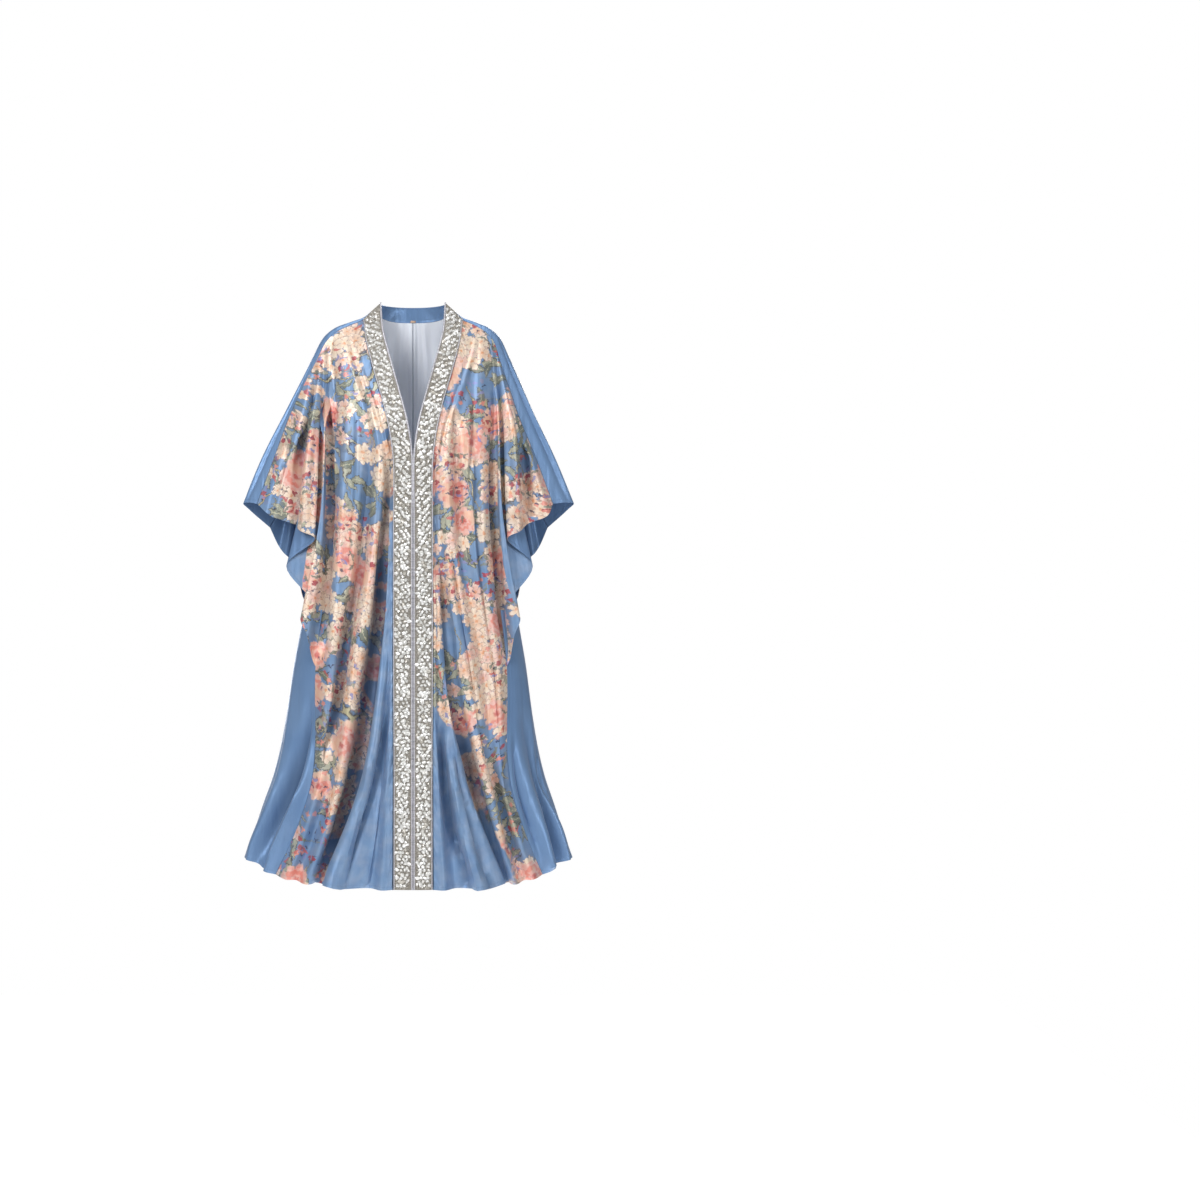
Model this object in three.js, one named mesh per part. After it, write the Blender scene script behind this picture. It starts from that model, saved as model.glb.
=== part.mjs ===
// A full length kaftan with batwing sleeves, filled out as if worn, with nobody in it.
// Millimetres, +Z up, the front faces -Y, the wearer's left is +X.
// The origin is at the middle of the shoulder line, where a wearer's shoulders hold it.
// Every piece is a cloth wall: a grid of points through its fold lines, given a thickness.
import * as THREE from 'three';

// Driving dimensions
const WALL = 2;              // thickness of every cloth wall
const TRIM_WALL = 2.4;       // thickness of the beaded bands
const SEAM = 0.26;           // each piece stops this far short of a seam that lies flat
const BENT_SEAM = 0.9;       // and this far where the two walls meet at an angle
const RIDGE_SEAM = 1.75;     // and this far on the sharp back seam of the sleeve
const REST = 0.3;            // clearance between walls that lie on each other
const JOINT_Z = -845;        // the underarm joint, where sleeve, front and gore meet
const HEM_Z = -1362;         // hem at the centre front and centre back
const HEM_RISE = 51;         // the hem is this much higher at the sides
const HEM_HALF = 399;        // half width of the hem
const LEAN = 11;             // both sleeves and hems sit this much towards the wearer's right
const LEAN_FROM = 110;       // the lean begins this far from the middle
const LEAN_OVER = 280;       // and is whole after this much more
const UPPER_ROWS = 12;       // rows from the shoulder to the underarm joint
const LOWER_ROWS = 7;        // rows from the underarm joint to the hem

// The body at each level. opening and band are the two edges of the front band, seam is the
// front edge of the gore, side is the widest point, front and back are the depths at the
// centre, backSeam is the edge of the back centre panel.
const LEVELS = [
  { z: 47, opening: 79, band: 121, seam: 186, side: 214, front: 6, backSeam: 155, back: 62 },
  { z: 8, opening: 80, band: 121, seam: 186, side: 216, front: 26, backSeam: 155, back: 64 },
  { z: -46, opening: 70, band: 115, seam: 190, side: 222, front: 62, backSeam: 156, back: 74 },
  { z: -125, opening: 49, band: 96, seam: 194, side: 229, front: 92, backSeam: 156, back: 92 },
  { z: -184, opening: 33, band: 79, seam: 198, side: 233, front: 108, backSeam: 156, back: 102 },
  { z: -250, opening: 16, band: 62, seam: 201, side: 236, front: 121, backSeam: 158, back: 108 },
  { z: -337, opening: 3.5, band: 48, seam: 204, side: 238, front: 125, backSeam: 162, back: 107 },
  { z: -500, opening: 3.5, band: 47, seam: 205, side: 238, front: 127, backSeam: 174, back: 107 },
  { z: -670, opening: 3.5, band: 47, seam: 212, side: 255, front: 135, backSeam: 183, back: 116 },
  { z: -845, opening: 3.5, band: 47, seam: 231, side: 286, front: 148, backSeam: 201, back: 135 },
  { z: -1100, opening: 3.5, band: 46, seam: 233, side: 324, front: 178, backSeam: 224, back: 170 },
  { z: -1240, opening: 3.5, band: 46, seam: 268, side: 364, front: 198, backSeam: 246, back: 194 },
  { z: -1362, opening: 3.5, band: 46, seam: 319, side: 399, front: 215, backSeam: 266, back: 215 },
];

// Folds of the front between band and gore seam. at is the share of that width, and lift is
// how far the cloth stands out there, both at the shoulder, bust, waist, joint, knee and hem.
const FOLD_LEVELS = [0, -250, -500, -845, -1100, -1362];
const FRONT_FOLDS = [
  { fold: 'band edge', at: [0, 0, 0, 0, 0, 0], lift: [0, 0, 0, 0, 0, 0] },
  { fold: 'band crest', at: [0.12, 0.03, 0.02, 0.03, 0.07, 0.10], lift: [0, 0, 0, 1, 6, 12] },
  { fold: 'band valley', at: [0.24, 0.06, 0.04, 0.07, 0.14, 0.21], lift: [0, 0, 0, -2, -9, -18] },
  { fold: 'centre crest', at: [0.36, 0.10, 0.07, 0.16, 0.33, 0.48], lift: [0, 1, 1, 9, 16, 20] },
  { fold: 'main valley', at: [0.48, 0.15, 0.11, 0.29, 0.51, 0.64], lift: [0, -2, -5, -12, -18, -24] },
  { fold: 'middle crest', at: [0.6, 0.22, 0.27, 0.50, 0.67, 0.74], lift: [0, 4, 8, 12, 14, 16] },
  { fold: 'outer valley', at: [0.72, 0.36, 0.44, 0.67, 0.80, 0.83], lift: [0, -4, -8, -10, -11, -14] },
  { fold: 'outer crest', at: [0.85, 0.60, 0.66, 0.83, 0.91, 0.91], lift: [0, 5, 10, 12, 12, 14] },
  { fold: 'gore seam', at: [1, 1, 1, 1, 1, 1], lift: [0, -3, -6, -6, -6, -6] },
];

// Folds of the front of the sleeve, from the gore seam outwards. start is the place on the
// strip seam, upper, lower and edge are points of the fold, edge on the free edge.
const SLEEVE_FRONT_FOLDS = [
  { fold: 'flap crest', start: 3.35, upper: [207, -72, -240], lower: [214, -84, -500], edge: [250, -100, -768] },
  { fold: 'flap edge', start: 3.65, upper: [211, -70, -235], lower: [221, -84, -480], edge: [265, -92, -728] },
  { fold: 'return', start: 3.95, upper: [213, -58, -230], lower: [211, -60, -455], edge: [236, -64, -697] },
  { fold: 'inner edge', start: 4.25, upper: [220, -50, -225], lower: [262, -42, -430], edge: [301, -44, -601] },
  { fold: 'second return', start: 4.6, upper: [223, -66, -215], lower: [227, -72, -390], edge: [233, -74, -535] },
  { fold: 'first crest', start: 4.95, upper: [236, -73, -215], lower: [256, -80, -385], edge: [264, -80, -518] },
  { fold: 'long valley', start: 5.3, upper: [241, -54, -222], lower: [281, -50, -375], edge: [290, -50, -497] },
  { fold: 'outer crest', start: 5.65, upper: [253, -55, -230], lower: [304, -56, -366], edge: [337, -54, -479] },
];
const FRONT_STEPS = [2, 2, 3, 3, 3, 2, 2, 2, 2];   // columns in each space between sleeve folds

// Folds of the back side piece, from the back panel's seam outwards, named the same way.
const SLEEVE_BACK_FOLDS = [
  { fold: 'blue crest', start: 3.3, upper: [180, 94, -275], lower: [208, 102, -520], edge: [238, 112, -800] },
  { fold: 'flap edge', start: 3.6, upper: [203, 86, -262], lower: [231, 94, -490], edge: [265, 104, -757] },
  { fold: 'return', start: 3.9, upper: [206, 72, -255], lower: [214, 72, -470], edge: [241, 78, -712] },
  { fold: 'first crest', start: 4.2, upper: [217, 84, -262], lower: [248, 82, -445], edge: [262, 74, -690] },
  { fold: 'first valley', start: 4.5, upper: [226, 70, -262], lower: [262, 62, -430], edge: [279, 60, -645] },
  { fold: 'second crest', start: 4.85, upper: [234, 72, -262], lower: [272, 74, -415], edge: [292, 70, -597] },
  { fold: 'second valley', start: 5.2, upper: [241, 60, -265], lower: [282, 54, -420], edge: [308, 52, -573] },
  { fold: 'outer crest', start: 5.6, upper: [248, 62, -276], lower: [296, 60, -432], edge: [326, 58, -550] },
];
const BACK_STEPS = [2, 2, 3, 2, 2, 2, 2, 2, 2];

// The strip over the shoulder and sleeve, a row for each station from the band to the wrist.
// ridge is the top line, left and right are how far the front seam lies in from it on the
// wearer's left and right, drop is how far below it, and back is the back seam.
const STRIP = [
  { ridge: [97, 0, 31], left: 0, right: 0, drop: 3, depth: 5, back: [97, 3, 28] },
  { ridge: [121, 0, 12], left: 0, right: 0, drop: 6, depth: 13, back: [121, 11, 9] },
  { ridge: [152, 0, 1], left: 2, right: 1, drop: 8, depth: 16, back: [155, 14, -5] },
  { ridge: [189, 0, -13], left: 10, right: 3, drop: 12, depth: 20, back: [156.1, 54, -60] },
  { ridge: [215, 0, -35], left: 14, right: 5, drop: 14, depth: 22, back: [174, 62, -98] },
  { ridge: [241, 0, -87], left: 24, right: 8, drop: 10, depth: 23, back: [195, 64, -140] },
  { ridge: [270, 0, -150], left: 32, right: 8, drop: 6, depth: 24, back: [220, 60, -203] },
  { ridge: [305, 0, -225], left: 42, right: 12, drop: 2, depth: 26, back: [250, 56, -282] },
  { ridge: [357, 0, -330], left: 50, right: 28, drop: 0, depth: 30, back: [292, 54, -395] },
  { ridge: [407, 0, -446], left: 54, right: 36, drop: 2, depth: 34, back: [347, 48, -503] },
];
const SHOULDER_START = 1;    // the station where the band's outer edge begins
const SLEEVE_START = 3;      // the station where the gore seam column begins
const OUTER_START = 6;       // the station where the top row turns down the sleeve
const WRIST = STRIP.length - 1;
const WIDEST_INSET = 54;
const FLATTER_FRONT = 0.075;  // a narrower strip curls less far to the front, by this share of its inset

// Form of the strip across: rounded shoulders before and behind the ridge, and cells between its points
const STRIP_FORM = {
  step: 0.25,                // stations of its rows over the shoulder
  before: { share: 0.62, out: 0.12, away: 4, up: 3 },
  behind: { share: 0.3, out: 0.1, away: 5, up: 3 },
  steps: [1, 1, 2, 2],
};

// Flutes of the back panel at the hem: place across the panel and how far each stands out.
const BACK_FLUTES = [
  { at: -1, lift: 0 }, { at: -0.82, lift: 11 }, { at: -0.62, lift: -11 }, { at: -0.45, lift: 9 },
  { at: -0.27, lift: -11 }, { at: -0.02, lift: 11 }, { at: 0.22, lift: -9 }, { at: 0.32, lift: 5 },
  { at: 0.42, lift: -9 }, { at: 0.58, lift: 11 }, { at: 0.74, lift: -9 }, { at: 0.87, lift: 8 },
  { at: 1, lift: 0 },
];
const FLUTE_START = -560;    // the flutes fade in below this height
const FLUTE_POWER = 1.5;     // and grow with this power of the way down
const GORE_FLUTES = 4;
const GORE_LIFT = 9;
const GORE_STEPS = 16;
const GORE_ROWS_UP = 2;      // rows of the gore above the joint, inside the sleeve
const GORE_JOINT_SEAM = 2.6; // clearance of the gore's seams inside the sleeve, where they lie askew
const GORE_SEAM = 0.5;       // and below the joint

// Collar: half width and depth of its base and top
const COLLAR = { baseHalf: 97, baseDepth: 60, baseZ: 10, endRise: 17, topHalf: 80, topDepth: 54, topZ: 47 };
const COLLAR_STEPS = 16;
const EDGE_POWER = 4;                 // hem and collar base rise with this power of the way to their ends
const NECK_END_Y = 3;                 // where the collar's base ends, behind the ridge
const COLLAR_END_Y = -1.5;            // the collar's front ends, just behind the bands
const NECK_TOP = [79, -3.4, 46.5];    // top of the front's closing edge
const NECK_MIDDLE = [99, -5, 28];     // and of the middle of the band
const LINING = { rows: 8, columns: 8, reach: 0.62, inset: 4.1 };
const PLACKET_TOP_ROW = 6;
const PLACKET_SHARE = 0.5;
const LOOP = { half: 6, inset: 3.4, bow: 2, height: 5 };

const vec = (x, y, z) => new THREE.Vector3(x, y, z);

// Smooth interpolation of one table column, with slopes from the neighbouring rows.
function tableAt(places, values, place) {
  const down = places[0] > places[places.length - 1] ? -1 : 1;
  let i = 0;
  while (i < places.length - 2 && (place - places[i + 1]) * down > 0) i += 1;
  const span = places[i + 1] - places[i];
  const t = Math.min(1, Math.max(0, (place - places[i]) / span));
  const slope = (j) => {
    const a = Math.max(0, j - 1);
    const b = Math.min(values.length - 1, j + 1);
    return (values[b] - values[a]) / (places[b] - places[a]);
  };
  const [t2, t3] = [t * t, t * t * t];
  return (2 * t3 - 3 * t2 + 1) * values[i] + (t3 - 2 * t2 + t) * span * slope(i)
    + (3 * t2 - 2 * t3) * values[i + 1] + (t3 - t2) * span * slope(i + 1);
}

const levelPlaces = LEVELS.map((row) => row.z);
const level = (name, z) => tableAt(levelPlaces, LEVELS.map((row) => row[name]), z);
const smooth = (t) => t * t * (3 - 2 * t);
const clamp01 = (t) => Math.min(1, Math.max(0, t));

// Half of an oval section: depth at x, for a section of the given half width and depth
const ovalDepth = (x, half, depth) => depth * Math.sqrt(Math.max(0, 1 - (x / half) ** 2));
const hemZ = (x) => HEM_Z + HEM_RISE * (Math.abs(x) / HEM_HALF) ** EDGE_POWER;

// The height of a point that nominally lies at z, once the hem rises towards the sides
function sagged(z, hemX) {
  if (z >= JOINT_Z) return z;
  const share = (z - JOINT_Z) / (HEM_Z - JOINT_Z);
  return JOINT_Z + share * (hemZ(hemX) - JOINT_Z);
}

// Stations along the strip: front seam, ridge and back seam
const strand = (points, t) => new THREE.CatmullRomCurve3(points).getPoint(t / (points.length - 1));
const ridgeAt = (t) => strand(STRIP.map((row) => vec(...row.ridge)), t);
function frontSeamAt(side, t) {
  const inset = side > 0 ? 'left' : 'right';
  return strand(STRIP.map((row) => vec(
    row.ridge[0] - row[inset],
    -row.depth + FLATTER_FRONT * (WIDEST_INSET - row[inset]),
    row.ridge[2] - row.drop,
  )), t);
}
function backSeamAt(t) {
  const points = STRIP.map((row) => vec(...row.back));
  const before = Math.floor(t);
  if (t < SLEEVE_START) return points[before].clone().lerp(points[before + 1], t - before);
  const rest = points.slice(SLEEVE_START);
  return new THREE.CatmullRomCurve3(rest).getPoint((t - SLEEVE_START) / (rest.length - 1));
}

// Points of one row, filled in between its folds
function acrossFolds(row, steps) {
  const curve = new THREE.CatmullRomCurve3(row);
  const intervals = row.length - 1;
  const out = [];
  steps.forEach((count, i) => {
    for (let j = 0; j < count; j += 1) out.push(curve.getPoint((i + j / count) / intervals));
  });
  out.push(row[intervals].clone());
  return out;
}

// The front: one row of fold points at each height, then the free edge, then down to the hem
function frontTop(side, fold) {
  return frontSeamAt(side, SHOULDER_START + (SLEEVE_START - SHOULDER_START) * fold.at[0]);
}

function frontBodyPoint(fold, z) {
  const at = tableAt(FOLD_LEVELS, fold.at, z);
  const band = level('band', z);
  const x = band + at * (level('seam', z) - band);
  const lift = tableAt(FOLD_LEVELS, fold.lift, z);
  const hem = LEVELS[LEVELS.length - 1];
  const hemX = hem.band + fold.at[5] * (hem.seam - hem.band);
  const y = -ovalDepth(x, level('side', z), level('front', z)) - lift;
  return vec(x, y, sagged(z, hemX));
}

// A point under the front band, share of the way from the closing edge to its outer edge
function bandPoint(share, z) {
  const x = level('opening', z) + share * (level('band', z) - level('opening', z));
  return vec(x, -ovalDepth(x, level('side', z), level('front', z)), sagged(z, x));
}

function frontGrid(side) {
  const rows = [];
  const bodySteps = [1, 1, ...FRONT_FOLDS.slice(1).map(() => 2)];
  for (let k = 0; k <= UPPER_ROWS + LOWER_ROWS; k += 1) {
    const upper = k <= UPPER_ROWS;
    const share = upper ? k / UPPER_ROWS : (k - UPPER_ROWS) / LOWER_ROWS;
    const lowZ = JOINT_Z + share * (HEM_Z - JOINT_Z);
    const [top, middle] = [vec(...NECK_TOP), vec(...NECK_MIDDLE)];
    const folds = [];
    folds.push(k === 0 ? top : bandPoint(0, upper ? top.z + share * (JOINT_Z - top.z) : lowZ));
    folds.push(k === 0 ? middle : bandPoint(0.5, upper ? middle.z + share * (JOINT_Z - middle.z) : lowZ));
    FRONT_FOLDS.forEach((fold) => {
      const start = frontTop(side, fold);
      if (k === 0) folds.push(start);
      else folds.push(frontBodyPoint(fold, upper ? start.z + share * (JOINT_Z - start.z) : lowZ));
    });
    if (upper) {
      SLEEVE_FRONT_FOLDS.forEach((fold) => {
        const points = [frontSeamAt(side, fold.start), vec(...fold.upper), vec(...fold.lower), vec(...fold.edge)];
        folds.push(strand(points, share * 3));
      });
      folds.push(frontSeamAt(side, OUTER_START + share * (WRIST - OUTER_START)));
    }
    rows.push(acrossFolds(folds, upper ? [...bodySteps, ...FRONT_STEPS] : bodySteps));
  }
  return rows;
}
const FRONT_BODY_COLUMNS = 2 * FRONT_FOLDS.length;      // index of the gore seam's column
const BAND_COLUMNS = 2;                                 // index of the band's outer edge

// The back seam of the body, a point for each row from the strip's corner to the hem
function backBodyPoint(u, z) {
  const x = u * level('backSeam', z);
  const fade = clamp01((FLUTE_START - z) / (FLUTE_START - HEM_Z)) ** FLUTE_POWER;
  const lift = tableAt(BACK_FLUTES.map((row) => row.at), BACK_FLUTES.map((row) => row.lift), u) * fade;
  const y = ovalDepth(x, level('side', z), level('back', z)) + lift;
  return vec(x, y, sagged(z, u * LEVELS[LEVELS.length - 1].backSeam));
}
function backRowZ(k) {
  const start = STRIP[SLEEVE_START].back[2];
  if (k <= UPPER_ROWS) return start + (k / UPPER_ROWS) * (JOINT_Z - start);
  return JOINT_Z + ((k - UPPER_ROWS) / LOWER_ROWS) * (HEM_Z - JOINT_Z);
}

function backTopPoint(u) {
  const half = COLLAR.baseHalf;
  const x = Math.abs(u) * STRIP[2].back[0];
  const [shoulder, neck] = [vec(...STRIP[1].back), vec(...STRIP[2].back)];
  let point;
  if (x <= half) {
    const turn = Math.acos(x / half);
    const rise = COLLAR.endRise * Math.cos(turn) ** EDGE_POWER;
    const y = NECK_END_Y + (COLLAR.baseDepth - NECK_END_Y) * Math.sin(turn);
    point = vec(x, y, COLLAR.baseZ + rise);
  } else if (x <= shoulder.x) {
    const t = (x - half) / (shoulder.x - half);
    point = vec(half, NECK_END_Y, COLLAR.baseZ + COLLAR.endRise).lerp(shoulder, t);
  } else {
    point = shoulder.clone().lerp(neck, (x - shoulder.x) / (neck.x - shoulder.x));
  }
  point.x *= Math.sign(u) || 0;
  return point;
}

function backPanelGrid() {
  const across = [];
  BACK_FLUTES.forEach((row, i) => {
    if (i > 0) across.push((row.at + BACK_FLUTES[i - 1].at) / 2);
    across.push(row.at);
  });
  const rows = [across.map(backTopPoint)];
  for (let k = 0; k <= UPPER_ROWS + LOWER_ROWS; k += 1) rows.push(across.map((u) => backBodyPoint(u, backRowZ(k))));
  return rows;
}

function backSideGrid() {
  const rows = [];
  for (let k = 0; k <= UPPER_ROWS; k += 1) {
    const share = k / UPPER_ROWS;
    const folds = [backBodyPoint(1, backRowZ(k))];
    SLEEVE_BACK_FOLDS.forEach((fold) => {
      const points = [backSeamAt(fold.start), vec(...fold.upper), vec(...fold.lower), vec(...fold.edge)];
      folds.push(strand(points, share * 3));
    });
    folds.push(backSeamAt(OUTER_START + share * (WRIST - OUTER_START)));
    rows.push(acrossFolds(folds, BACK_STEPS));
  }
  return rows;
}

// The gore joins the front seam to the back seam round the side, with soft flutes
function goreGrid(side) {
  const front = frontGrid(side).map((row) => row[FRONT_BODY_COLUMNS]);
  const rows = [];
  for (let k = UPPER_ROWS - GORE_ROWS_UP; k <= UPPER_ROWS + LOWER_ROWS; k += 1) {
    const z = backRowZ(k);
    const back = backBodyPoint(1, z);
    const half = level('side', z);
    const [turnFront, turnBack] = [-Math.acos(level('seam', z) / half), Math.acos(level('backSeam', z) / half)];
    const fade = clamp01((JOINT_Z - z) / (JOINT_Z - HEM_Z));
    const arc = (w) => {
      const turn = turnFront + w * (turnBack - turnFront);
      const depth = turn < 0 ? level('front', z) : level('back', z);
      const out = GORE_LIFT * fade * Math.sin(2 * Math.PI * GORE_FLUTES * w) * Math.sin(Math.PI * w) ** 0.5;
      const x = half * Math.cos(turn);
      return vec(x + out * Math.cos(turn), (depth + out) * Math.sin(turn), sagged(z, x));
    };
    const [startFix, endFix] = [front[k].clone().sub(arc(0)), back.clone().sub(arc(1))];
    const row = [];
    for (let i = 0; i <= GORE_STEPS; i += 1) {
      const w = i / GORE_STEPS;
      row.push(arc(w).addScaledVector(startFix, 1 - w).addScaledVector(endFix, w));
    }
    rows.push(row);
  }
  return rows;
}

// The strip wraps from the front seam over the ridge to the back seam
function stripGrid(side) {
  const stations = [];
  for (let i = 0; i < OUTER_START / STRIP_FORM.step; i += 1) stations.push(i * STRIP_FORM.step);
  for (let k = 0; k <= UPPER_ROWS; k += 1) stations.push(OUTER_START + (k / UPPER_ROWS) * (WRIST - OUTER_START));
  return stations.map((t) => {
    const [front, ridge, back] = [frontSeamAt(side, t), ridgeAt(t), backSeamAt(t)];
    const { before, behind } = STRIP_FORM;
    const shoulderFront = front.clone().lerp(ridge, before.share)
      .add(vec(before.out * (ridge.x - front.x), -before.away, before.up));
    const shoulderBack = ridge.clone().lerp(back, behind.share)
      .add(vec(behind.out * (ridge.x - back.x), behind.away, behind.up));
    return acrossFolds([front, shoulderFront, ridge, shoulderBack, back], STRIP_FORM.steps);
  });
}

function collarGrid() {
  const rows = [0, 0.5, 1].map((rise) => {
    const row = [];
    for (let i = 0; i <= COLLAR_STEPS; i += 1) {
      const turn = Math.PI * (i / COLLAR_STEPS);
      const half = COLLAR.baseHalf + rise * (COLLAR.topHalf - COLLAR.baseHalf);
      const depth = COLLAR.baseDepth - COLLAR_END_Y + rise * (COLLAR.topDepth - COLLAR.baseDepth);
      const baseZ = COLLAR.baseZ + COLLAR.endRise * Math.cos(turn) ** EDGE_POWER;
      const z = baseZ + rise * (COLLAR.topZ - baseZ);
      row.push(vec(half * Math.cos(turn), COLLAR_END_Y + depth * Math.sin(turn), z));
    }
    return row;
  });
  return rows;
}

// The lining follows the back panel from the collar down, one half on each side
function liningGrid() {
  const rows = [];
  for (let k = 0; k <= LINING.rows; k += 1) {
    const row = [];
    for (let i = 0; i <= LINING.columns; i += 1) {
      const u = (i / LINING.columns) * LINING.reach;
      row.push(k === 0 ? backTopPoint(u) : backBodyPoint(u, backRowZ(k - 1)));
    }
    rows.push(row);
  }
  return rows;
}

// The underlap lies behind both closed front edges, made from the fronts' own points
function placketGrid() {
  const inside = movedOut(frontGrid(1), -(WALL + REST), false).slice(PLACKET_TOP_ROW);
  return inside.map((row) => {
    const edge = row[0];
    const wide = edge.clone().lerp(row[1], PLACKET_SHARE);
    const other = (p) => vec(-p.x, p.y, p.z);
    return [other(wide), other(edge), edge, wide];
  });
}

// Grid helpers: mirrored side, lean, seam clearance, and points moved out along their normals
const mirrored = (grid, side) => grid.map((row) => row.map((p) => vec(side * p.x, p.y, p.z)));
const leaned = (grid) => grid.map((row) => row.map((p) => {
  const share = smooth(clamp01((Math.abs(p.x) - LEAN_FROM) / LEAN_OVER));
  return vec(p.x - LEAN * share, p.y, p.z);
}));

function shortened(grid, clearance) {
  const out = grid.map((row) => row.map((p) => p.clone()));
  const pull = (target, towards, amount) => {
    const step = towards.clone().sub(target);
    target.addScaledVector(step.normalize(), amount);
  };
  const last = grid.length - 1;
  grid.forEach((row, k) => {
    if (clearance.first) pull(out[k][0], row[1], clearance.first(k));
    if (clearance.last) pull(out[k][row.length - 1], row[row.length - 2], clearance.last(k));
  });
  if (clearance.top) grid[0].forEach((p, i) => pull(out[0][i], grid[1][i], clearance.top(i)));
  if (clearance.bottom) grid[last].forEach((p, i) => pull(out[last][i], grid[last - 1][i], clearance.bottom(i)));
  return out;
}

// Triangles of a grid, each four-sided cell split along its shorter diagonal
function gridCells(grid) {
  const ids = [];
  const points = [];
  grid.forEach((row) => ids.push(row.map((p) => points.push(p) - 1)));
  const triangles = [];
  for (let k = 0; k + 1 < grid.length; k += 1) {
    const width = Math.min(grid[k].length, grid[k + 1].length);
    for (let i = 0; i + 1 < width; i += 1) {
      const [a, b, c, d] = [ids[k][i], ids[k][i + 1], ids[k + 1][i + 1], ids[k + 1][i]];
      const shorter = points[a].distanceTo(points[c]) <= points[b].distanceTo(points[d]);
      if (shorter) triangles.push([a, c, b], [a, d, c]);
      else triangles.push([a, d, b], [b, d, c]);
    }
  }
  return { points, triangles };
}

function pointNormals(points, triangles) {
  const normals = points.map(() => vec(0, 0, 0));
  triangles.forEach(([a, b, c]) => {
    const face = points[b].clone().sub(points[a]).cross(points[c].clone().sub(points[a]));
    [a, b, c].forEach((i) => normals[i].add(face));
  });
  return normals.map((n) => n.normalize());
}

function movedOut(grid, distance, flip) {
  const { points, triangles } = gridCells(grid);
  const normals = pointNormals(points, triangles);
  let next = 0;
  return grid.map((row) => row.map((p) => {
    const normal = normals[next];
    next += 1;
    return p.clone().addScaledVector(normal, flip ? -distance : distance);
  }));
}

// A closed wall: the grid's points moved both ways by half the thickness, with a rim
function wall(grid, thickness, flip) {
  const { points, triangles } = gridCells(grid);
  const faces = flip ? triangles.map(([a, b, c]) => [a, c, b]) : triangles;
  const normals = pointNormals(points, faces);
  const count = points.length;
  const positions = [];
  [0.5, -0.5].forEach((half) => points.forEach((p, i) => {
    const q = p.clone().addScaledVector(normals[i], half * thickness);
    positions.push(q.x, q.y, q.z);
  }));
  const index = [];
  const edges = new Map();
  faces.forEach(([a, b, c]) => {
    index.push(a, b, c, a + count, c + count, b + count);
    [[a, b], [b, c], [c, a]].forEach(([from, to]) => {
      const back = `${to}_${from}`;
      if (edges.has(back)) edges.delete(back);
      else edges.set(`${from}_${to}`, [from, to]);
    });
  });
  edges.forEach(([from, to]) => index.push(to, from, from + count, to, from + count, to + count));
  const geometry = new THREE.BufferGeometry();
  geometry.setAttribute('position', new THREE.Float32BufferAttribute(positions, 3));
  geometry.setIndex(index);
  geometry.computeVertexNormals();
  return geometry;
}

// Materials: colours of the garment's cloths
const satinBlue = new THREE.MeshStandardMaterial({ color: 0x7a9ac4, roughness: 0.35, metalness: 0 });
const floralSatin = new THREE.MeshStandardMaterial({ color: 0xc9b8ae, roughness: 0.4, metalness: 0 });
const liningCloth = new THREE.MeshStandardMaterial({ color: 0xb4c0d4, roughness: 0.55, metalness: 0 });
const beadedBand = new THREE.MeshStandardMaterial({ color: 0xc8c4bc, roughness: 0.3, metalness: 0.1 });
const loopCord = new THREE.MeshStandardMaterial({ color: 0xc9a98c, roughness: 0.7, metalness: 0 });

const kaftan = new THREE.Group();
function addPiece(name, geometry, material) {
  const mesh = new THREE.Mesh(geometry, material);
  mesh.name = name;
  kaftan.add(mesh);
}

const flat = () => SEAM;
const bent = () => BENT_SEAM;
const sharp = () => RIDGE_SEAM;
const bandOffset = WALL / 2 + REST + TRIM_WALL / 2;
const gorePull = (k) => (k <= GORE_ROWS_UP ? GORE_JOINT_SEAM : GORE_SEAM);

[[1, 'left'], [-1, 'right']].forEach(([side, word]) => {
  const flip = side < 0;
  const place = (grid) => leaned(mirrored(grid, side));

  const front = shortened(place(frontGrid(side)), { top: bent, last: bent });
  addPiece(`front_${word}`, wall(front, WALL, flip), floralSatin);

  const bandGrid = front.map((row) => row.slice(0, BAND_COLUMNS + 1));
  addPiece(`trim_${word}`, wall(movedOut(bandGrid, bandOffset, flip), TRIM_WALL, flip), beadedBand);

  const backSide = shortened(place(backSideGrid()), { top: sharp, first: sharp, last: sharp });
  addPiece(`back_side_${word}`, wall(backSide, WALL, !flip), floralSatin);

  const strip = shortened(place(stripGrid(side)), { top: flat, first: bent, last: sharp });
  addPiece(`shoulder_strip_${word}`, wall(strip, WALL, flip), satinBlue);

  const gore = shortened(place(goreGrid(side)), { first: gorePull, last: gorePull });
  addPiece(`side_gore_${word}`, wall(gore, WALL, flip), satinBlue);

  const lining = shortened(mirrored(liningGrid(), side), { first: flat, top: sharp });
  addPiece(`back_lining_${word}`, wall(movedOut(lining, -LINING.inset, !flip), WALL, !flip), liningCloth);
});

const backPanel = shortened(leaned(backPanelGrid()), { top: bent, first: bent, last: bent });
addPiece('back_panel', wall(backPanel, WALL, true), floralSatin);

const collar = shortened(collarGrid(), { top: bent, first: flat, last: flat });
addPiece('collar_stand', wall(collar, WALL, false), satinBlue);
addPiece('front_placket', wall(placketGrid(), WALL, false), satinBlue);

const loopPoints = [-1, -0.5, 0, 0.5, 1].map((u) => vec(
  u * LOOP.half, COLLAR.baseDepth - LOOP.inset - LOOP.bow * (1 - u * u), COLLAR.baseZ,
));
const loopGrid = [0, LOOP.height].map((rise) => loopPoints.map((p) => vec(p.x, p.y, p.z + rise)));
addPiece('hang_loop', wall(loopGrid, WALL, true), loopCord);

export default kaftan;
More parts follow.
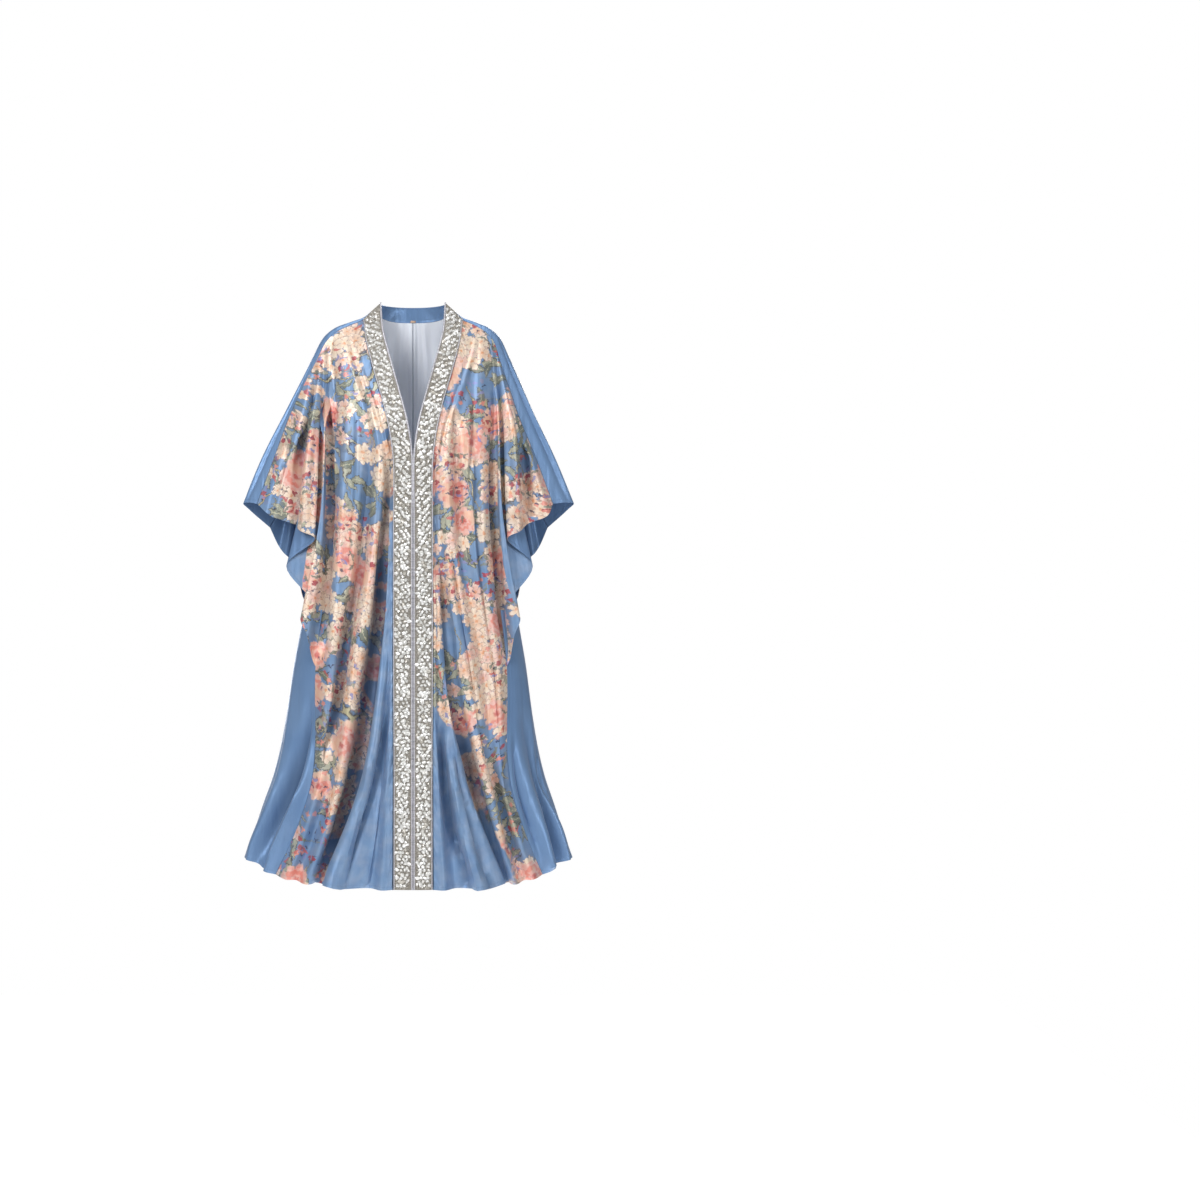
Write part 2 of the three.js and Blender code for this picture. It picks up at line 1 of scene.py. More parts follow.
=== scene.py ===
"""A full length kaftan with batwing sleeves, filled out as if worn, with nobody in it.

Tables are in millimetres and meshes in metres. +Z up, the front faces -Y, the wearer's left is +X.
"""
import math

import bpy
import numpy as np
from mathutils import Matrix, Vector


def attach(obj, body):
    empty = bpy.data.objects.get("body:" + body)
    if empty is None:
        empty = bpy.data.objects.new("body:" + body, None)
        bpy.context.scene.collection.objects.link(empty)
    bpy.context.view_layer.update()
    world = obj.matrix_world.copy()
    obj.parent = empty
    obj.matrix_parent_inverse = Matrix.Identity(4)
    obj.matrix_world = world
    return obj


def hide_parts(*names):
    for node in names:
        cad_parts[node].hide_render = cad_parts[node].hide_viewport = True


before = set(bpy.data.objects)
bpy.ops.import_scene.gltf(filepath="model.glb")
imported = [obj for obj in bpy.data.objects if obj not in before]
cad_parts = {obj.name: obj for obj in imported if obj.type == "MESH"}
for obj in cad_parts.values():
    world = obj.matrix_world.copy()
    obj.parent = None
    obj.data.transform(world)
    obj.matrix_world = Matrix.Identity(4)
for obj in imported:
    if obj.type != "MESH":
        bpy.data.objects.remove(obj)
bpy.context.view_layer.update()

# Camera
# It stands 4 m in front of the garment, level with its middle.
# The garment fills the left half of the photograph, so the picture is shifted to the right.
PHOTO_PIXELS = 1200
GARMENT_CENTRE_PIXEL = 413
MM_PER_PIXEL = 2.47
CAMERA_AWAY = 4000
CAMERA_HEIGHT = -684
SENSOR = 36
camera_data = bpy.data.cameras.new("camera")
camera_data.sensor_width = SENSOR
camera_data.lens = SENSOR * CAMERA_AWAY / (PHOTO_PIXELS * MM_PER_PIXEL)
camera_data.shift_x = 0.5 - GARMENT_CENTRE_PIXEL / PHOTO_PIXELS
camera = bpy.data.objects.new("camera", camera_data)
camera.location = (0, -CAMERA_AWAY / 1000, CAMERA_HEIGHT / 1000)
camera.rotation_euler = (math.pi / 2, 0, 0)
bpy.context.scene.collection.objects.link(camera)
bpy.context.scene.camera = camera

# Back panel
# One flared panel of printed satin from the collar to the hem, sewn to the strips at the shoulders.
# It hangs free below the waist, so that its hem stands in soft flutes.
BODY = {  # half widths and depths of the body at each height
    "z": [47, 8, -46, -125, -184, -250, -337, -500, -670, -845, -1100, -1240, -1362],
    "opening": [79, 80, 70, 49, 33, 16, 3.5, 3.5, 3.5, 3.5, 3.5, 3.5, 3.5],
    "band": [121, 121, 115, 96, 79, 62, 48, 47, 47, 47, 46, 46, 46],
    "seam": [186, 186, 190, 194, 198, 201, 204, 205, 212, 231, 233, 268, 319],
    "side": [214, 216, 222, 229, 233, 236, 238, 238, 255, 286, 324, 364, 399],
    "front": [6, 26, 62, 92, 108, 121, 125, 127, 135, 148, 178, 198, 215],
    "back_seam": [155, 155, 156, 156, 156, 158, 162, 174, 183, 201, 224, 246, 266],
    "back": [62, 64, 74, 92, 102, 108, 107, 107, 116, 135, 170, 194, 215],
}
JOINT_Z = -845          # the underarm joint, where sleeve, front and gore meet
HEM_Z = -1362           # the hem at the centre
HEM_RISE = 51           # it is this much higher at the sides
HEM_HALF = 399
LEAN = 11               # sleeves and hem sit this much towards the wearer's right
LEAN_FROM = 110
LEAN_OVER = 280
UPPER_ROWS = 12         # rows of the cutting net above the underarm joint
LOWER_ROWS = 7
FINE_ROWS = 8           # rows of cloth for each row of the net
CLOTH = 0.9             # thickness of the satin
PANEL_COLUMNS = 5       # and columns of cloth for each column of it
TAKEN_UP_SHARE = 0.4    # this much of what the folds take up is hidden in them
TROUGH_DEPTH = 1.5      # troughs are this much deeper than ridges stand out
FULL_SHADE_DEPTH = 30       # a trough this deep gets the full painted shade
EDGE_REACH = 20         # width of the turned hem and of the cloth marked beside a seam
SEAM_CALM = 16          # creases fade out over one part in this many beside a seam
SHARP_DEGREES = 50      # faces that meet at more than this show an edge
LEFT_EDGE, RIGHT_EDGE, TOP_EDGE, FOOT_EDGE = np.s_[:, :1], np.s_[:, -1:], np.s_[:1], np.s_[-1:]
BACK_FLUTES = {         # place across the panel, and how far the cloth stands out there at the hem
    "at": [-1, -0.82, -0.62, -0.45, -0.27, -0.02, 0.22, 0.32, 0.42, 0.58, 0.74, 0.87, 1],
    "lift": [0, 11, -11, 9, -11, 11, -9, 5, -9, 11, -9, 8, 0],
}
FLUTE_START, FLUTE_POWER = -560, 1.5    # they grow from here to the hem, by this power of the way
COLLAR = {"base_half": 97, "base_depth": 60, "base_z": 10, "end_rise": 17,
          "top_half": 80, "top_depth": 54, "top_z": 47}
NECK_END_Y = 3


def along_table(places, values, at):
    """The smooth curve through a column: cubic pieces, each row's slope that between its neighbours."""
    places, values = np.asarray(places, float), np.asarray(values, float)
    if places[0] > places[-1]:
        places, values = places[::-1], values[::-1]
    slope = np.gradient(values, places)
    slope[1:-1] = (values[2:] - values[:-2]) / (places[2:] - places[:-2])
    i = np.clip(np.searchsorted(places, at) - 1, 0, len(places) - 2)
    span = places[i + 1] - places[i]
    t = np.clip((at - places[i]) / span, 0, 1)
    start = (2 * t**3 - 3 * t**2 + 1) * values[i] + (t**3 - 2 * t**2 + t) * span * slope[i]
    return start + (3 * t**2 - 2 * t**3) * values[i + 1] + (t**3 - t**2) * span * slope[i + 1]


def body(name, z):
    """One column of the body's table at any height."""
    return along_table(BODY["z"], BODY[name], z)


def oval_depth(x, half, depth):
    """Depth at x of an oval section of that half width and depth."""
    return depth * np.sqrt(np.maximum(0, 1 - (x / half) ** 2))


def sagged(z, hem_x):
    """Heights below the joint are stretched so that the hem rises with the fourth power of its width."""
    hem = HEM_Z + HEM_RISE * (np.abs(hem_x) / HEM_HALF) ** 4
    return np.where(z >= JOINT_Z, z, JOINT_Z + (z - JOINT_Z) / (HEM_Z - JOINT_Z) * (hem - JOINT_Z))


def through(points, at):
    """A smooth curve through the points along the first axis, taken at counts from 0.

    Each stretch is the cubic whose end slopes weigh the chords beside it by the roots of their lengths.
    """
    points = np.asarray(points, float)
    p = np.concatenate([[2 * points[0] - points[1]], points, [2 * points[-1] - points[-2]]])
    gap = np.maximum(np.sqrt(np.linalg.norm(np.diff(p, axis=0), axis=-1, keepdims=True)), 1e-3)
    at = np.atleast_1d(np.asarray(at, float))
    i = np.clip(np.floor(at).astype(int), 0, len(points) - 2)
    t = (at - i).reshape(-1, *[1] * (points.ndim - 1))
    p0, p1, p2, p3 = p[i], p[i + 1], p[i + 2], p[i + 3]
    g0, g1, g2 = gap[i], gap[i + 1], gap[i + 2]
    leave = g1 * ((p1 - p0) / g0 - (p2 - p0) / (g0 + g1) + (p2 - p1) / g1)
    arrive = g1 * ((p2 - p1) / g1 - (p3 - p1) / (g1 + g2) + (p3 - p2) / g2)
    bend, twist = 3 * (p2 - p1) - 2 * leave - arrive, 2 * (p1 - p2) + leave + arrive
    return p1 + t * leave + t**2 * bend + t**3 * twist


def finer(net, down, across):
    """The net's surface with that many cells for each of its cells, smooth both ways."""
    net = np.swapaxes(net, 0, 1)
    net = through(net, np.linspace(0, len(net) - 1, (len(net) - 1) * across + 1))
    net = np.swapaxes(net, 0, 1)
    return through(net, np.linspace(0, len(net) - 1, (len(net) - 1) * down + 1))


def stacked(x, y, z):
    """Three arrays as points, each spread to the shape of the largest."""
    return np.stack(np.broadcast_arrays(np.asarray(x, float), y, z), axis=-1)


def placed(net, side=1):
    """The net on that side of the wearer, with the lean that grows smoothly towards the sides."""
    x = side * net[..., 0]
    share = np.clip((np.abs(x) - LEAN_FROM) / LEAN_OVER, 0, 1)
    return stacked(x - LEAN * share**2 * (3 - 2 * share), net[..., 1], net[..., 2])


def back_body_point(u, z):
    """Back of the body at share u of the panel's half width: the oval, with flutes growing to the hem."""
    x = u * body("back_seam", z)
    fade = np.clip((FLUTE_START - z) / (FLUTE_START - HEM_Z), 0, 1) ** FLUTE_POWER
    lift = along_table(BACK_FLUTES["at"], BACK_FLUTES["lift"], u) * fade
    y = oval_depth(x, body("side", z), body("back", z)) + lift
    return stacked(x, y, sagged(z, u * BODY["back_seam"][-1]))


SHOULDER_POINT = np.array([121, 11, 9])    # on the back seam of the strip, at the band
PANEL_CORNER = np.array([155, 14, -5])     # where the back panel's side begins
BACK_TOP_Z = -60


def back_row_z(row):
    """Height of a row of the back's net, counted from the strip's corner."""
    lower = (row - UPPER_ROWS) / LOWER_ROWS * (HEM_Z - JOINT_Z) + JOINT_Z
    return np.where(row <= UPPER_ROWS, BACK_TOP_Z + row / UPPER_ROWS * (JOINT_Z - BACK_TOP_Z), lower)


def back_top_point(u):
    """Top edge of the back: round the collar's base, then straight along the shoulder seam."""
    x = np.abs(u) * PANEL_CORNER[0]
    turn = np.arccos(np.clip(x / COLLAR["base_half"], 0, 1))
    y = NECK_END_Y + (COLLAR["base_depth"] - NECK_END_Y) * np.sin(turn)
    neck = stacked(x, y, COLLAR["base_z"] + COLLAR["end_rise"] * np.cos(turn) ** 4)
    neck_end = (COLLAR["base_half"], NECK_END_Y, COLLAR["base_z"] + COLLAR["end_rise"])
    corners = np.array([neck_end, SHOULDER_POINT, PANEL_CORNER], float)
    edge = stacked(x, *[np.interp(x, corners[:, 0], corners[:, k]) for k in (1, 2)])
    top = np.where((x <= COLLAR["base_half"])[:, None], neck, edge)
    return top * stacked(np.sign(u), 1, 1)


def back_net(u):
    """Rows of the back at the shares u, from the top edge down to the hem."""
    rows = back_row_z(np.arange(UPPER_ROWS + LOWER_ROWS + 1))
    return np.concatenate([back_top_point(u)[None], back_body_point(u[None, :], rows[:, None])])


def cells(keep):
    """Four corners of each grid cell whose corners are all kept, as point numbers."""
    ids = np.full(keep.shape, -1)
    ids[keep] = np.arange(keep.sum())
    quads = np.stack([ids[:-1, :-1], ids[:-1, 1:], ids[1:, 1:], ids[1:, :-1]], axis=-1).reshape(-1, 4)
    return quads[(quads >= 0).all(axis=1)]


def grid_normals(points, keep):
    """Unit normals at the kept points: the cell normals round each point added up."""
    flat, quads = points[keep], cells(keep)
    a, b, c, d = [flat[quads[:, k]] for k in range(4)]
    face = np.cross(c - a, d - b)
    normals = np.zeros_like(flat)
    for k in range(4):
        np.add.at(normals, quads[:, k], face)
    normals /= np.maximum(np.linalg.norm(normals, axis=1, keepdims=True), 1e-9)
    out = np.zeros_like(points)
    out[keep] = normals
    return out


def outward(points, keep, from_point=None):
    """1 where the grid's normals face away from the garment's middle line or a given point, else -1."""
    centre = points[keep] * (0, 0, 1) if from_point is None else np.asarray(from_point, float)
    away = (grid_normals(points, keep)[keep] * (points[keep] - centre)).sum()
    return 1 if away > 0 else -1


def mesh_object(name, points, faces, materials, index=None, uv=None, attributes=None, smooth=True):
    """A mesh with smooth faces, and sharp edges where its faces meet at more than SHARP_DEGREES."""
    mesh = bpy.data.meshes.new(name)
    mesh.from_pydata(np.asarray(points) / 1000, [], faces if isinstance(faces, list) else faces.tolist())
    for material in materials:
        mesh.materials.append(material)
    if index is not None:
        mesh.polygons.foreach_set("material_index", index.astype(np.int32))
    if uv is not None:
        loops = np.empty(len(mesh.loops), np.int32)
        mesh.loops.foreach_get("vertex_index", loops)
        layer = mesh.uv_layers.new(name="cloth")
        layer.data.foreach_set("uv", (uv[loops] / 1000).astype(np.float32).ravel())
    for key, values in (attributes or {}).items():
        layer = mesh.attributes.new(key, "FLOAT", "POINT")
        layer.data.foreach_set("value", np.asarray(values, np.float32))
    mesh.polygons.foreach_set("use_smooth", np.full(len(mesh.polygons), smooth))
    mesh.set_sharp_from_angle(angle=math.radians(SHARP_DEGREES))
    piece = bpy.data.objects.new(name, mesh)
    bpy.context.scene.collection.objects.link(piece)
    return piece


def crease_lift(creases, across, down):
    """How far soft ridges and troughs lift the cloth, the sum of their bell shaped sections.

    Each row of a crease says how far down it is, where across, its height and its half width. All four run
    smoothly between the rows. A height below 0 makes a trough.
    """
    lift = np.zeros(np.broadcast_shapes(across.shape, down.shape))
    for crease in creases:
        at, middle, height, half = np.array(crease, float).T
        away = (across - along_table(at, middle, down)) / along_table(at, half, down)
        reached = (down >= at.min()) & (down <= at.max())
        lift += np.where(reached, along_table(at, height, down) * np.exp(-away ** 2), 0)
    return np.where(lift < 0, TROUGH_DEPTH, 1) * lift


def creased(points, lift, keep=None):
    """The surface moved by the lift along its outward normals."""
    keep = np.ones(points.shape[:2], bool) if keep is None else keep
    return points + grid_normals(points, keep) * (outward(points, keep) * lift)[..., None]


# painted shade: how dark the colour is painted in each trough, from its depth
def painted_trough_shade(lift):
    """0 on open cloth, rising with the square of a trough's depth to 1 at FULL_SHADE_DEPTH."""
    return np.clip(-lift / FULL_SHADE_DEPTH, 0, 1) ** 2


def way_to(points, *edges):
    """How far each point is from the nearest of the edges, met along its own row or column."""
    return np.min([np.linalg.norm(points - points[edge], axis=-1) for edge in edges], axis=0)


def near(distance, reach=EDGE_REACH):
    """1 at an edge, falling to 0 at that many millimetres from it."""
    return np.clip(1 - np.abs(distance) / reach, 0, 1)


def cloth_shell(name, points, materials, thickness=CLOTH, keep=None, from_point=None, shift=(0, 0),
                **marks):
    """A closed thin wall: the grid moved both ways along its normals, joined round its edge.

    The cloth's own coordinates, in metres, are the height, and the way to the side with a share of what the
    folds take up added to it. A shift moves them, so that pieces show other parts of the print.
    Marks are values over the grid for the material: plain where the print leaves off, trough for the
    shade painted into the folds' troughs, and hem, seam and band for nearness to those edges.
    """
    keep = np.ones(points.shape[:2], bool) if keep is None else keep
    sign = outward(points, keep, from_point)
    normals = grid_normals(points, keep)[keep] * sign
    flat, quads = points[keep], cells(keep)
    if sign < 0:
        quads = quads[:, ::-1]
    half = np.broadcast_to(np.asarray(thickness, float), keep.shape)[keep][:, None] / 2
    count = len(flat)
    start, end = quads.ravel(), np.roll(quads, -1, axis=1).ravel()
    rim = ~np.isin(start * count + end, end * count + start)
    start, end = start[rim], end[rim]
    sides = np.stack([end, start, start + count, end + count], axis=1)
    faces = np.concatenate([quads, quads[:, ::-1] + count, sides])
    index = np.concatenate([np.zeros(len(quads), int), np.ones(len(quads), int), np.zeros(len(sides), int)])
    step = np.diff(points[..., :2], axis=1)
    taken_up = np.cumsum(np.linalg.norm(step, axis=-1) - np.abs(step[..., 0]), axis=1)
    taken_up = np.concatenate([np.zeros((len(points), 1)), taken_up], axis=1)
    across = points[..., 0] + np.sign(points[keep][:, 0].mean()) * TAKEN_UP_SHARE * taken_up
    uv = (np.stack([across, points[..., 2]], axis=-1) + np.array(shift) * 1000)[keep]
    attributes = {key: np.tile(np.broadcast_to(mark, keep.shape)[keep], 2) for key, mark in marks.items()}
    return mesh_object(name, np.concatenate([flat + normals * half, flat - normals * half]), faces,
                       materials, index, np.tile(uv, (2, 1)), attributes)


SATIN_METALLIC = 0.22                    # a satin's highlights take its own colour
SATIN_GLINT = (0.55, 0.68, 0.88, 1.0)    # and this tint of pale blue
SHEEN_ROUGHNESS = 0.45
FULL_TURN = 6.283
WEAVE, SLUBS = (5200, 900), (60, 9)      # spots for each metre, across and down
SLOW_FOLDS, QUICK_FOLDS, GATHERS = (34, 3.2), (75, 11), (130, 6)
PUCKERS_ACROSS, PUCKERS_ALONG = (84, 33), (9, -23)
RELIEF_METRES = 0.0025
RELIEF = {"weave": 0.02, "slubs": 0.03, "quick folds": 0.3, "gathers": 0.35, "groove": 0.5, "puckers": 2.2,
          "stitch": 0.12, "turning": 0.12}    # shares of RELIEF_METRES
# the last is how strongly shade is painted into the folds' troughs
THREAD_TINT, GROOVE_TINT, PAINTED_SHADE_STRENGTH = 0.55, 0.55, 0.66


class Paint:
    """A number, colour or vector on its way through one material's nodes; operators add Math nodes."""

    def __init__(self, tree, socket=None):
        self.tree, self.socket = tree, socket

    def node(self, kind, inputs, output=0, **settings):
        """Adds a node of that type, sets its settings, then fills its sockets with values or links."""
        node = self.tree.nodes.new(kind)
        for key, value in settings.items():
            setattr(node, key, value)
        for key, value in inputs.items():
            if isinstance(value, Paint):
                self.tree.links.new(value.socket, node.inputs[key])
            else:
                node.inputs[key].default_value = value
        return Paint(self.tree, node.outputs[output])

    def other(self, output):
        """Another output of the node that this comes from."""
        return Paint(self.tree, self.socket.node.outputs[output])

    def math(self, operation, *values):
        return self.node("ShaderNodeMath", dict(enumerate(values)), operation=operation)

    def __add__(self, other):
        return self.math("ADD", self, other)

    def __sub__(self, other):
        return self.math("SUBTRACT", self, other)

    def __rsub__(self, other):
        return self.math("SUBTRACT", other, self)

    def __mul__(self, other):
        return self.math("MULTIPLY", self, other)

    def __pow__(self, other):
        return self.math("POWER", self, other)

    __radd__, __rmul__ = __add__, __mul__

    def step(self, low, high):
        """0 below low, 1 above high, and a soft step between them."""
        return self.node("ShaderNodeMapRange", {"Value": self, "From Min": low, "From Max": high},
                         interpolation_type="SMOOTHSTEP")

    def over(self, colour, mask):
        """Another colour laid over this one where the mask is 1."""
        colour = colour if isinstance(colour, Paint) else (*colour, 1)
        return self.node("ShaderNodeMix", {0: mask, 6: self, 7: colour}, output=2, data_type="RGBA")

    def times(self, x, y):
        """A flat vector stretched by x and y."""
        return self.node("ShaderNodeVectorMath", {0: self, 1: (x, y, 1)}, operation="MULTIPLY")

    def moved(self, by):
        return self.node("ShaderNodeVectorMath", {0: self, 1: by}, operation="ADD")

    def mark(self, name):
        """The piece's own value of that name at each point."""
        return self.node("ShaderNodeAttribute", {}, "Fac", attribute_name=name)

    def size(self):
        """The number without its sign."""
        return self.math("ABSOLUTE", self)

    def noise(self, scale, detail=2.0):
        """Cloudy noise, about 0.5 on average, of that many spots for each unit of this vector."""
        return self.node("ShaderNodeTexNoise", {"Vector": self, "Scale": scale, "Detail": detail},
                         noise_dimensions="2D")


def cloth_material(name, sheen):
    """A new cloth material, its shader, and its paint to build on."""
    material = bpy.data.materials.new(name)
    material.use_nodes = True
    shader = material.node_tree.nodes["Principled BSDF"]
    shader.inputs["Metallic"].default_value = SATIN_METALLIC
    shader.inputs["Specular Tint"].default_value = SATIN_GLINT
    shader.inputs["Sheen Weight"].default_value = sheen
    shader.inputs["Sheen Roughness"].default_value = SHEEN_ROUGHNESS
    paint = Paint(material.node_tree)
    return material, shader, paint, paint.node("ShaderNodeUVMap", {}, uv_map="cloth")


def flat_colour(paint, colour):
    """A colour to lay others over."""
    made = paint.node("ShaderNodeRGB", {})
    made.socket.default_value = (*colour, 1)
    return made


def satin_surface(shader, place, base, smoothest=0.30, roughest=0.42, creasing=1.0):
    """The weave, slow small folds down the cloth, and the stitched hem and seams where the marks say.

    The hem's stitches are short dashes half way across the turning, whose inner edge stands up a little.
    Beside the band the cloth puckers on the slant, and shade is painted into the troughs as a darker
    colour.
    """
    hem, seam, side = place.mark("hem"), place.mark("seam"), place.node("ShaderNodeSeparateXYZ", {0: place})
    dash = side * STITCHES_PER_METRE
    dash = dash.math("SINE", dash * math.tau).step(-0.4, -0.1)
    stitch = hem.step(0.575, 0.595) * (1 - hem.step(0.615, 0.635)) * dash
    groove = seam.step(0.90, 0.97)
    weave, slubs = place.times(*WEAVE).noise(1.0, 1.0), place.times(*SLUBS).noise(1.0, 3.0)
    folds = (place.times(*SLOW_FOLDS).noise(1.0, 2.0)
             + place.times(*QUICK_FOLDS).noise(1.0, 2.0) * RELIEF["quick folds"])
    gathers = place.times(*GATHERS).noise(1.0, 1.0) * seam.step(0.0, 0.9)
    out, up = side.size(), side.other(1)
    slanting = place.node("ShaderNodeCombineXYZ", {0: out * PUCKERS_ACROSS[0] + up * PUCKERS_ACROSS[1],
                                                   1: out * PUCKERS_ALONG[0] + up * PUCKERS_ALONG[1]})
    puckers = slanting.noise(1.0, 1.0) * place.mark("band")
    height = (weave * RELIEF["weave"] + slubs * RELIEF["slubs"] + folds * creasing
              + gathers * RELIEF["gathers"] - groove * RELIEF["groove"] + puckers * RELIEF["puckers"]
              - stitch * RELIEF["stitch"] + hem.step(0.50, 0.53) * RELIEF["turning"])
    bump = place.node("ShaderNodeBump", {"Strength": 1.0, "Distance": RELIEF_METRES, "Height": height})
    sewn = base.over(THREAD_SHADE, stitch * THREAD_TINT).over(SEAM_SHADE, groove * GROOVE_TINT)
    # painted shade: the colour is darkened towards navy in the folds' troughs, by their depth
    sewn = sewn.over(PAINTED_TROUGH_SHADE, place.mark("trough") * PAINTED_SHADE_STRENGTH)
    for socket, value in (("Base Color", sewn), ("Normal", bump),
                          ("Roughness", slubs * (roughest - smoothest) + smoothest)):
        place.tree.links.new(value.socket, shader.inputs[socket])


def plain_satin(name, colour, deeper):
    """Plain satin whose colour clouds a little."""
    material, shader, paint, place = cloth_material(name, 0.12)
    satin_surface(shader, place, flat_colour(paint, colour).over(deeper, place.noise(7.0).step(0.35, 0.75)))
    return material


def scattered(place, per_metre, shift):
    """Loosely scattered motifs: the way from a motif's centre, how far, that centre, and two chances."""
    spread = place.times(per_metre, per_metre).moved((*shift, 0))
    far = place.node("ShaderNodeTexVoronoi", {"Vector": spread, "Scale": 1.0, "Randomness": 0.85},
                     voronoi_dimensions="2D", feature="F1")
    cell, chance = far.other("Position"), far.other("Color")
    away = place.node("ShaderNodeVectorMath", {0: spread, 1: cell}, operation="SUBTRACT")
    x = place.node("ShaderNodeSeparateXYZ", {0: away})
    first = place.node("ShaderNodeSeparateColor", {0: chance})
    centre = cell.moved((-shift[0], -shift[1], 0)).times(1 / per_metre, 1 / per_metre)
    return (x, x.other(1)), far, centre, (first, first.other(1))


def petals(away, far, chance, count, size, notch):
    """A flower whose radius swings once for each petal. Gives its mask and the petals' middles."""
    angle = far.math("ARCTAN2", away[1], away[0]) + chance * FULL_TURN
    middle = far.math("COSINE", angle * (count / 2)).size()
    rim = middle ** 0.55 * (notch * size) + (1 - notch) * size
    return (rim - far).step(0.0, 0.04), middle


def leaf_shape(away, chance, length, width):
    """A pointed leaf turned by chance: its half width falls with the square of the way along it."""
    turn = chance * FULL_TURN
    cosine, sine = chance.math("COSINE", turn), chance.math("SINE", turn)
    along = away[0] * cosine + away[1] * sine
    aside = away[1] * cosine - away[0] * sine
    bent = aside + along * along * 0.8
    half = 1 - (along * (1 / length)) ** 2
    return half * width - bent.size(), bent.size()


def printed_satin(name):
    """Satin printed with loose watercolour blossoms in clusters, with leaves, stems and buds between.

    Each layer scatters one motif and keeps it where a cloudy plan of clusters, read at its centre, allows.
    The attribute plain fades the whole print out to the blue ground.
    """
    material, shader, paint, cloth = cloth_material(name, 0.10)
    wobble = cloth.node("ShaderNodeTexNoise", {"Vector": cloth, "Scale": 150.0, "Detail": 1.0}, "Color",
                        noise_dimensions="2D")
    wobble = wobble.moved((-0.5, -0.5, -0.5)).times(0.009, 0.009)
    place = cloth.node("ShaderNodeVectorMath", {0: cloth, 1: wobble}, operation="ADD")
    faded = paint.mark("plain") + (cloth.noise(13.0, 3.0) - 0.5) * 1.5
    shown = 1 - faded.step(0.42, 0.58)

    def cluster(centre, scale, shift, low):
        return centre.moved((*shift, 0)).noise(scale, 2.0).step(low, low + 0.02)

    base = flat_colour(paint, GROUND_BLUE).over(GROUND_DEEP, cloth.noise(16.0, 3.0).step(0.35, 0.7))

    # stems: contour lines of slow noise, dark with a light middle
    for shift, colour, width in (((3.1, 0.7), STEM_DARK, 0.022), ((3.1, 0.7), STEM_LIGHT, 0.010),
                                 ((9.4, 5.2), STEM_DARK, 0.018), ((9.4, 5.2), LEAF_PALE, 0.008)):
        line = place.moved((*shift, 0)).noise(9.0, 1.0) - 0.5
        line = 1 - line.size().step(width * 0.4, width)
        near_stem = cloth.moved((shift[1], shift[0], 0)).noise(6.0, 1.0).step(0.46, 0.52)
        base = base.over(colour, line * near_stem * shown)

    # leaves: a dark outline, a grey green blade and a pale vein
    for per_metre, shift, low in ((14.0, (4.3, 1.9), 0.47), (18.0, (0.6, 7.7), 0.45),
                                  (22.0, (8.1, 3.7), 0.50)):
        away, far, centre, chance = scattered(place, per_metre, shift)
        inside, middle = leaf_shape(away, chance[0], 0.5, 0.17)
        kept = cluster(centre, 6.5, (2.0, 5.0), low) * shown
        tone = flat_colour(paint, LEAF_DARK).over(LEAF_PALE, (chance[1] + far).step(0.3, 1.1))
        base = base.over(LEAF_LINE, inside.step(-0.02, 0.002) * kept)
        base = base.over(tone, inside.step(0.014, 0.03) * kept)
        base = base.over(LEAF_VEIN, (1 - middle.step(0.008, 0.02)) * inside.step(0.03, 0.06) * kept)

    # blossoms: five petals from cream to peach, a warm eye, and dark gaps between petals
    for per_metre, shift, size, low in ((26.0, (7.1, 2.2), 0.52, 0.490), (21.0, (1.3, 4.6), 0.54, 0.500),
                                        (31.0, (5.5, 8.3), 0.52, 0.515), (24.0, (9.2, 6.4), 0.54, 0.535)):
        away, far, centre, chance = scattered(place, per_metre, shift)
        flower, middle = petals(away, far, chance[0], 5, size, 0.52)
        spread = centre.noise(8.0, 2.0) + (chance[1] - 0.5) * 0.16
        kept = spread.step(low, low + 0.015) * shown
        warm = centre.moved((3.0, 1.0, 0)).noise(5.0, 1.0).step(0.40, 0.58)
        tone = flat_colour(paint, CREAM).over(PEACH, warm * chance[1].step(0.2, 0.8))
        tone = tone.over(BLUSH, chance[0].step(0.76, 0.84) * 0.8)
        tone = tone.over(PALE, (far * (1 / size)).step(0.35, 0.95) * 0.75)
        tone = tone.over(PETAL_GAP, (1 - middle.step(0.05, 0.46)) * far.step(0.08, 0.22) * 0.8)
        tone = tone.over(EYE, (1 - far.step(0.03, 0.14)) * 0.8)
        base = base.over(PETAL_EDGE, flower * kept * 0.85)
        inner = petals(away, far, chance[0], 5, size - 0.045, 0.52)[0]
        base = base.over(tone, inner * kept)

    # large blooms: coral, with ragged rings of petals
    for shift, low, per_metre in (((2.7, 6.1), 0.485, 6.2), ((8.4, 0.9), 0.52, 7.6)):
        away, far, centre, chance = scattered(place, per_metre, shift)
        bloom, middle = petals(away, far, chance[0], 9, 0.29, 0.26)
        rings = far * 46.0 + cloth.noise(40.0, 2.0) * 7.0 + middle * 1.6
        rings = rings.math("SINE", rings)
        kept = cluster(centre, 5.0, (6.0, 2.0), low) * shown
        tone = flat_colour(paint, CORAL).over(BLUSH, rings.step(-0.5, 0.9))
        tone = tone.over(PEACH, cloth.noise(26.0, 2.0).step(0.47, 0.62) * 0.8)
        tone = tone.over(CORAL_DEEP, (1 - far.step(0.02, 0.09)) * 0.85)
        tone = tone.over(PALE, far.step(0.2, 0.29) * 0.6)
        base = base.over(tone, bloom * kept)

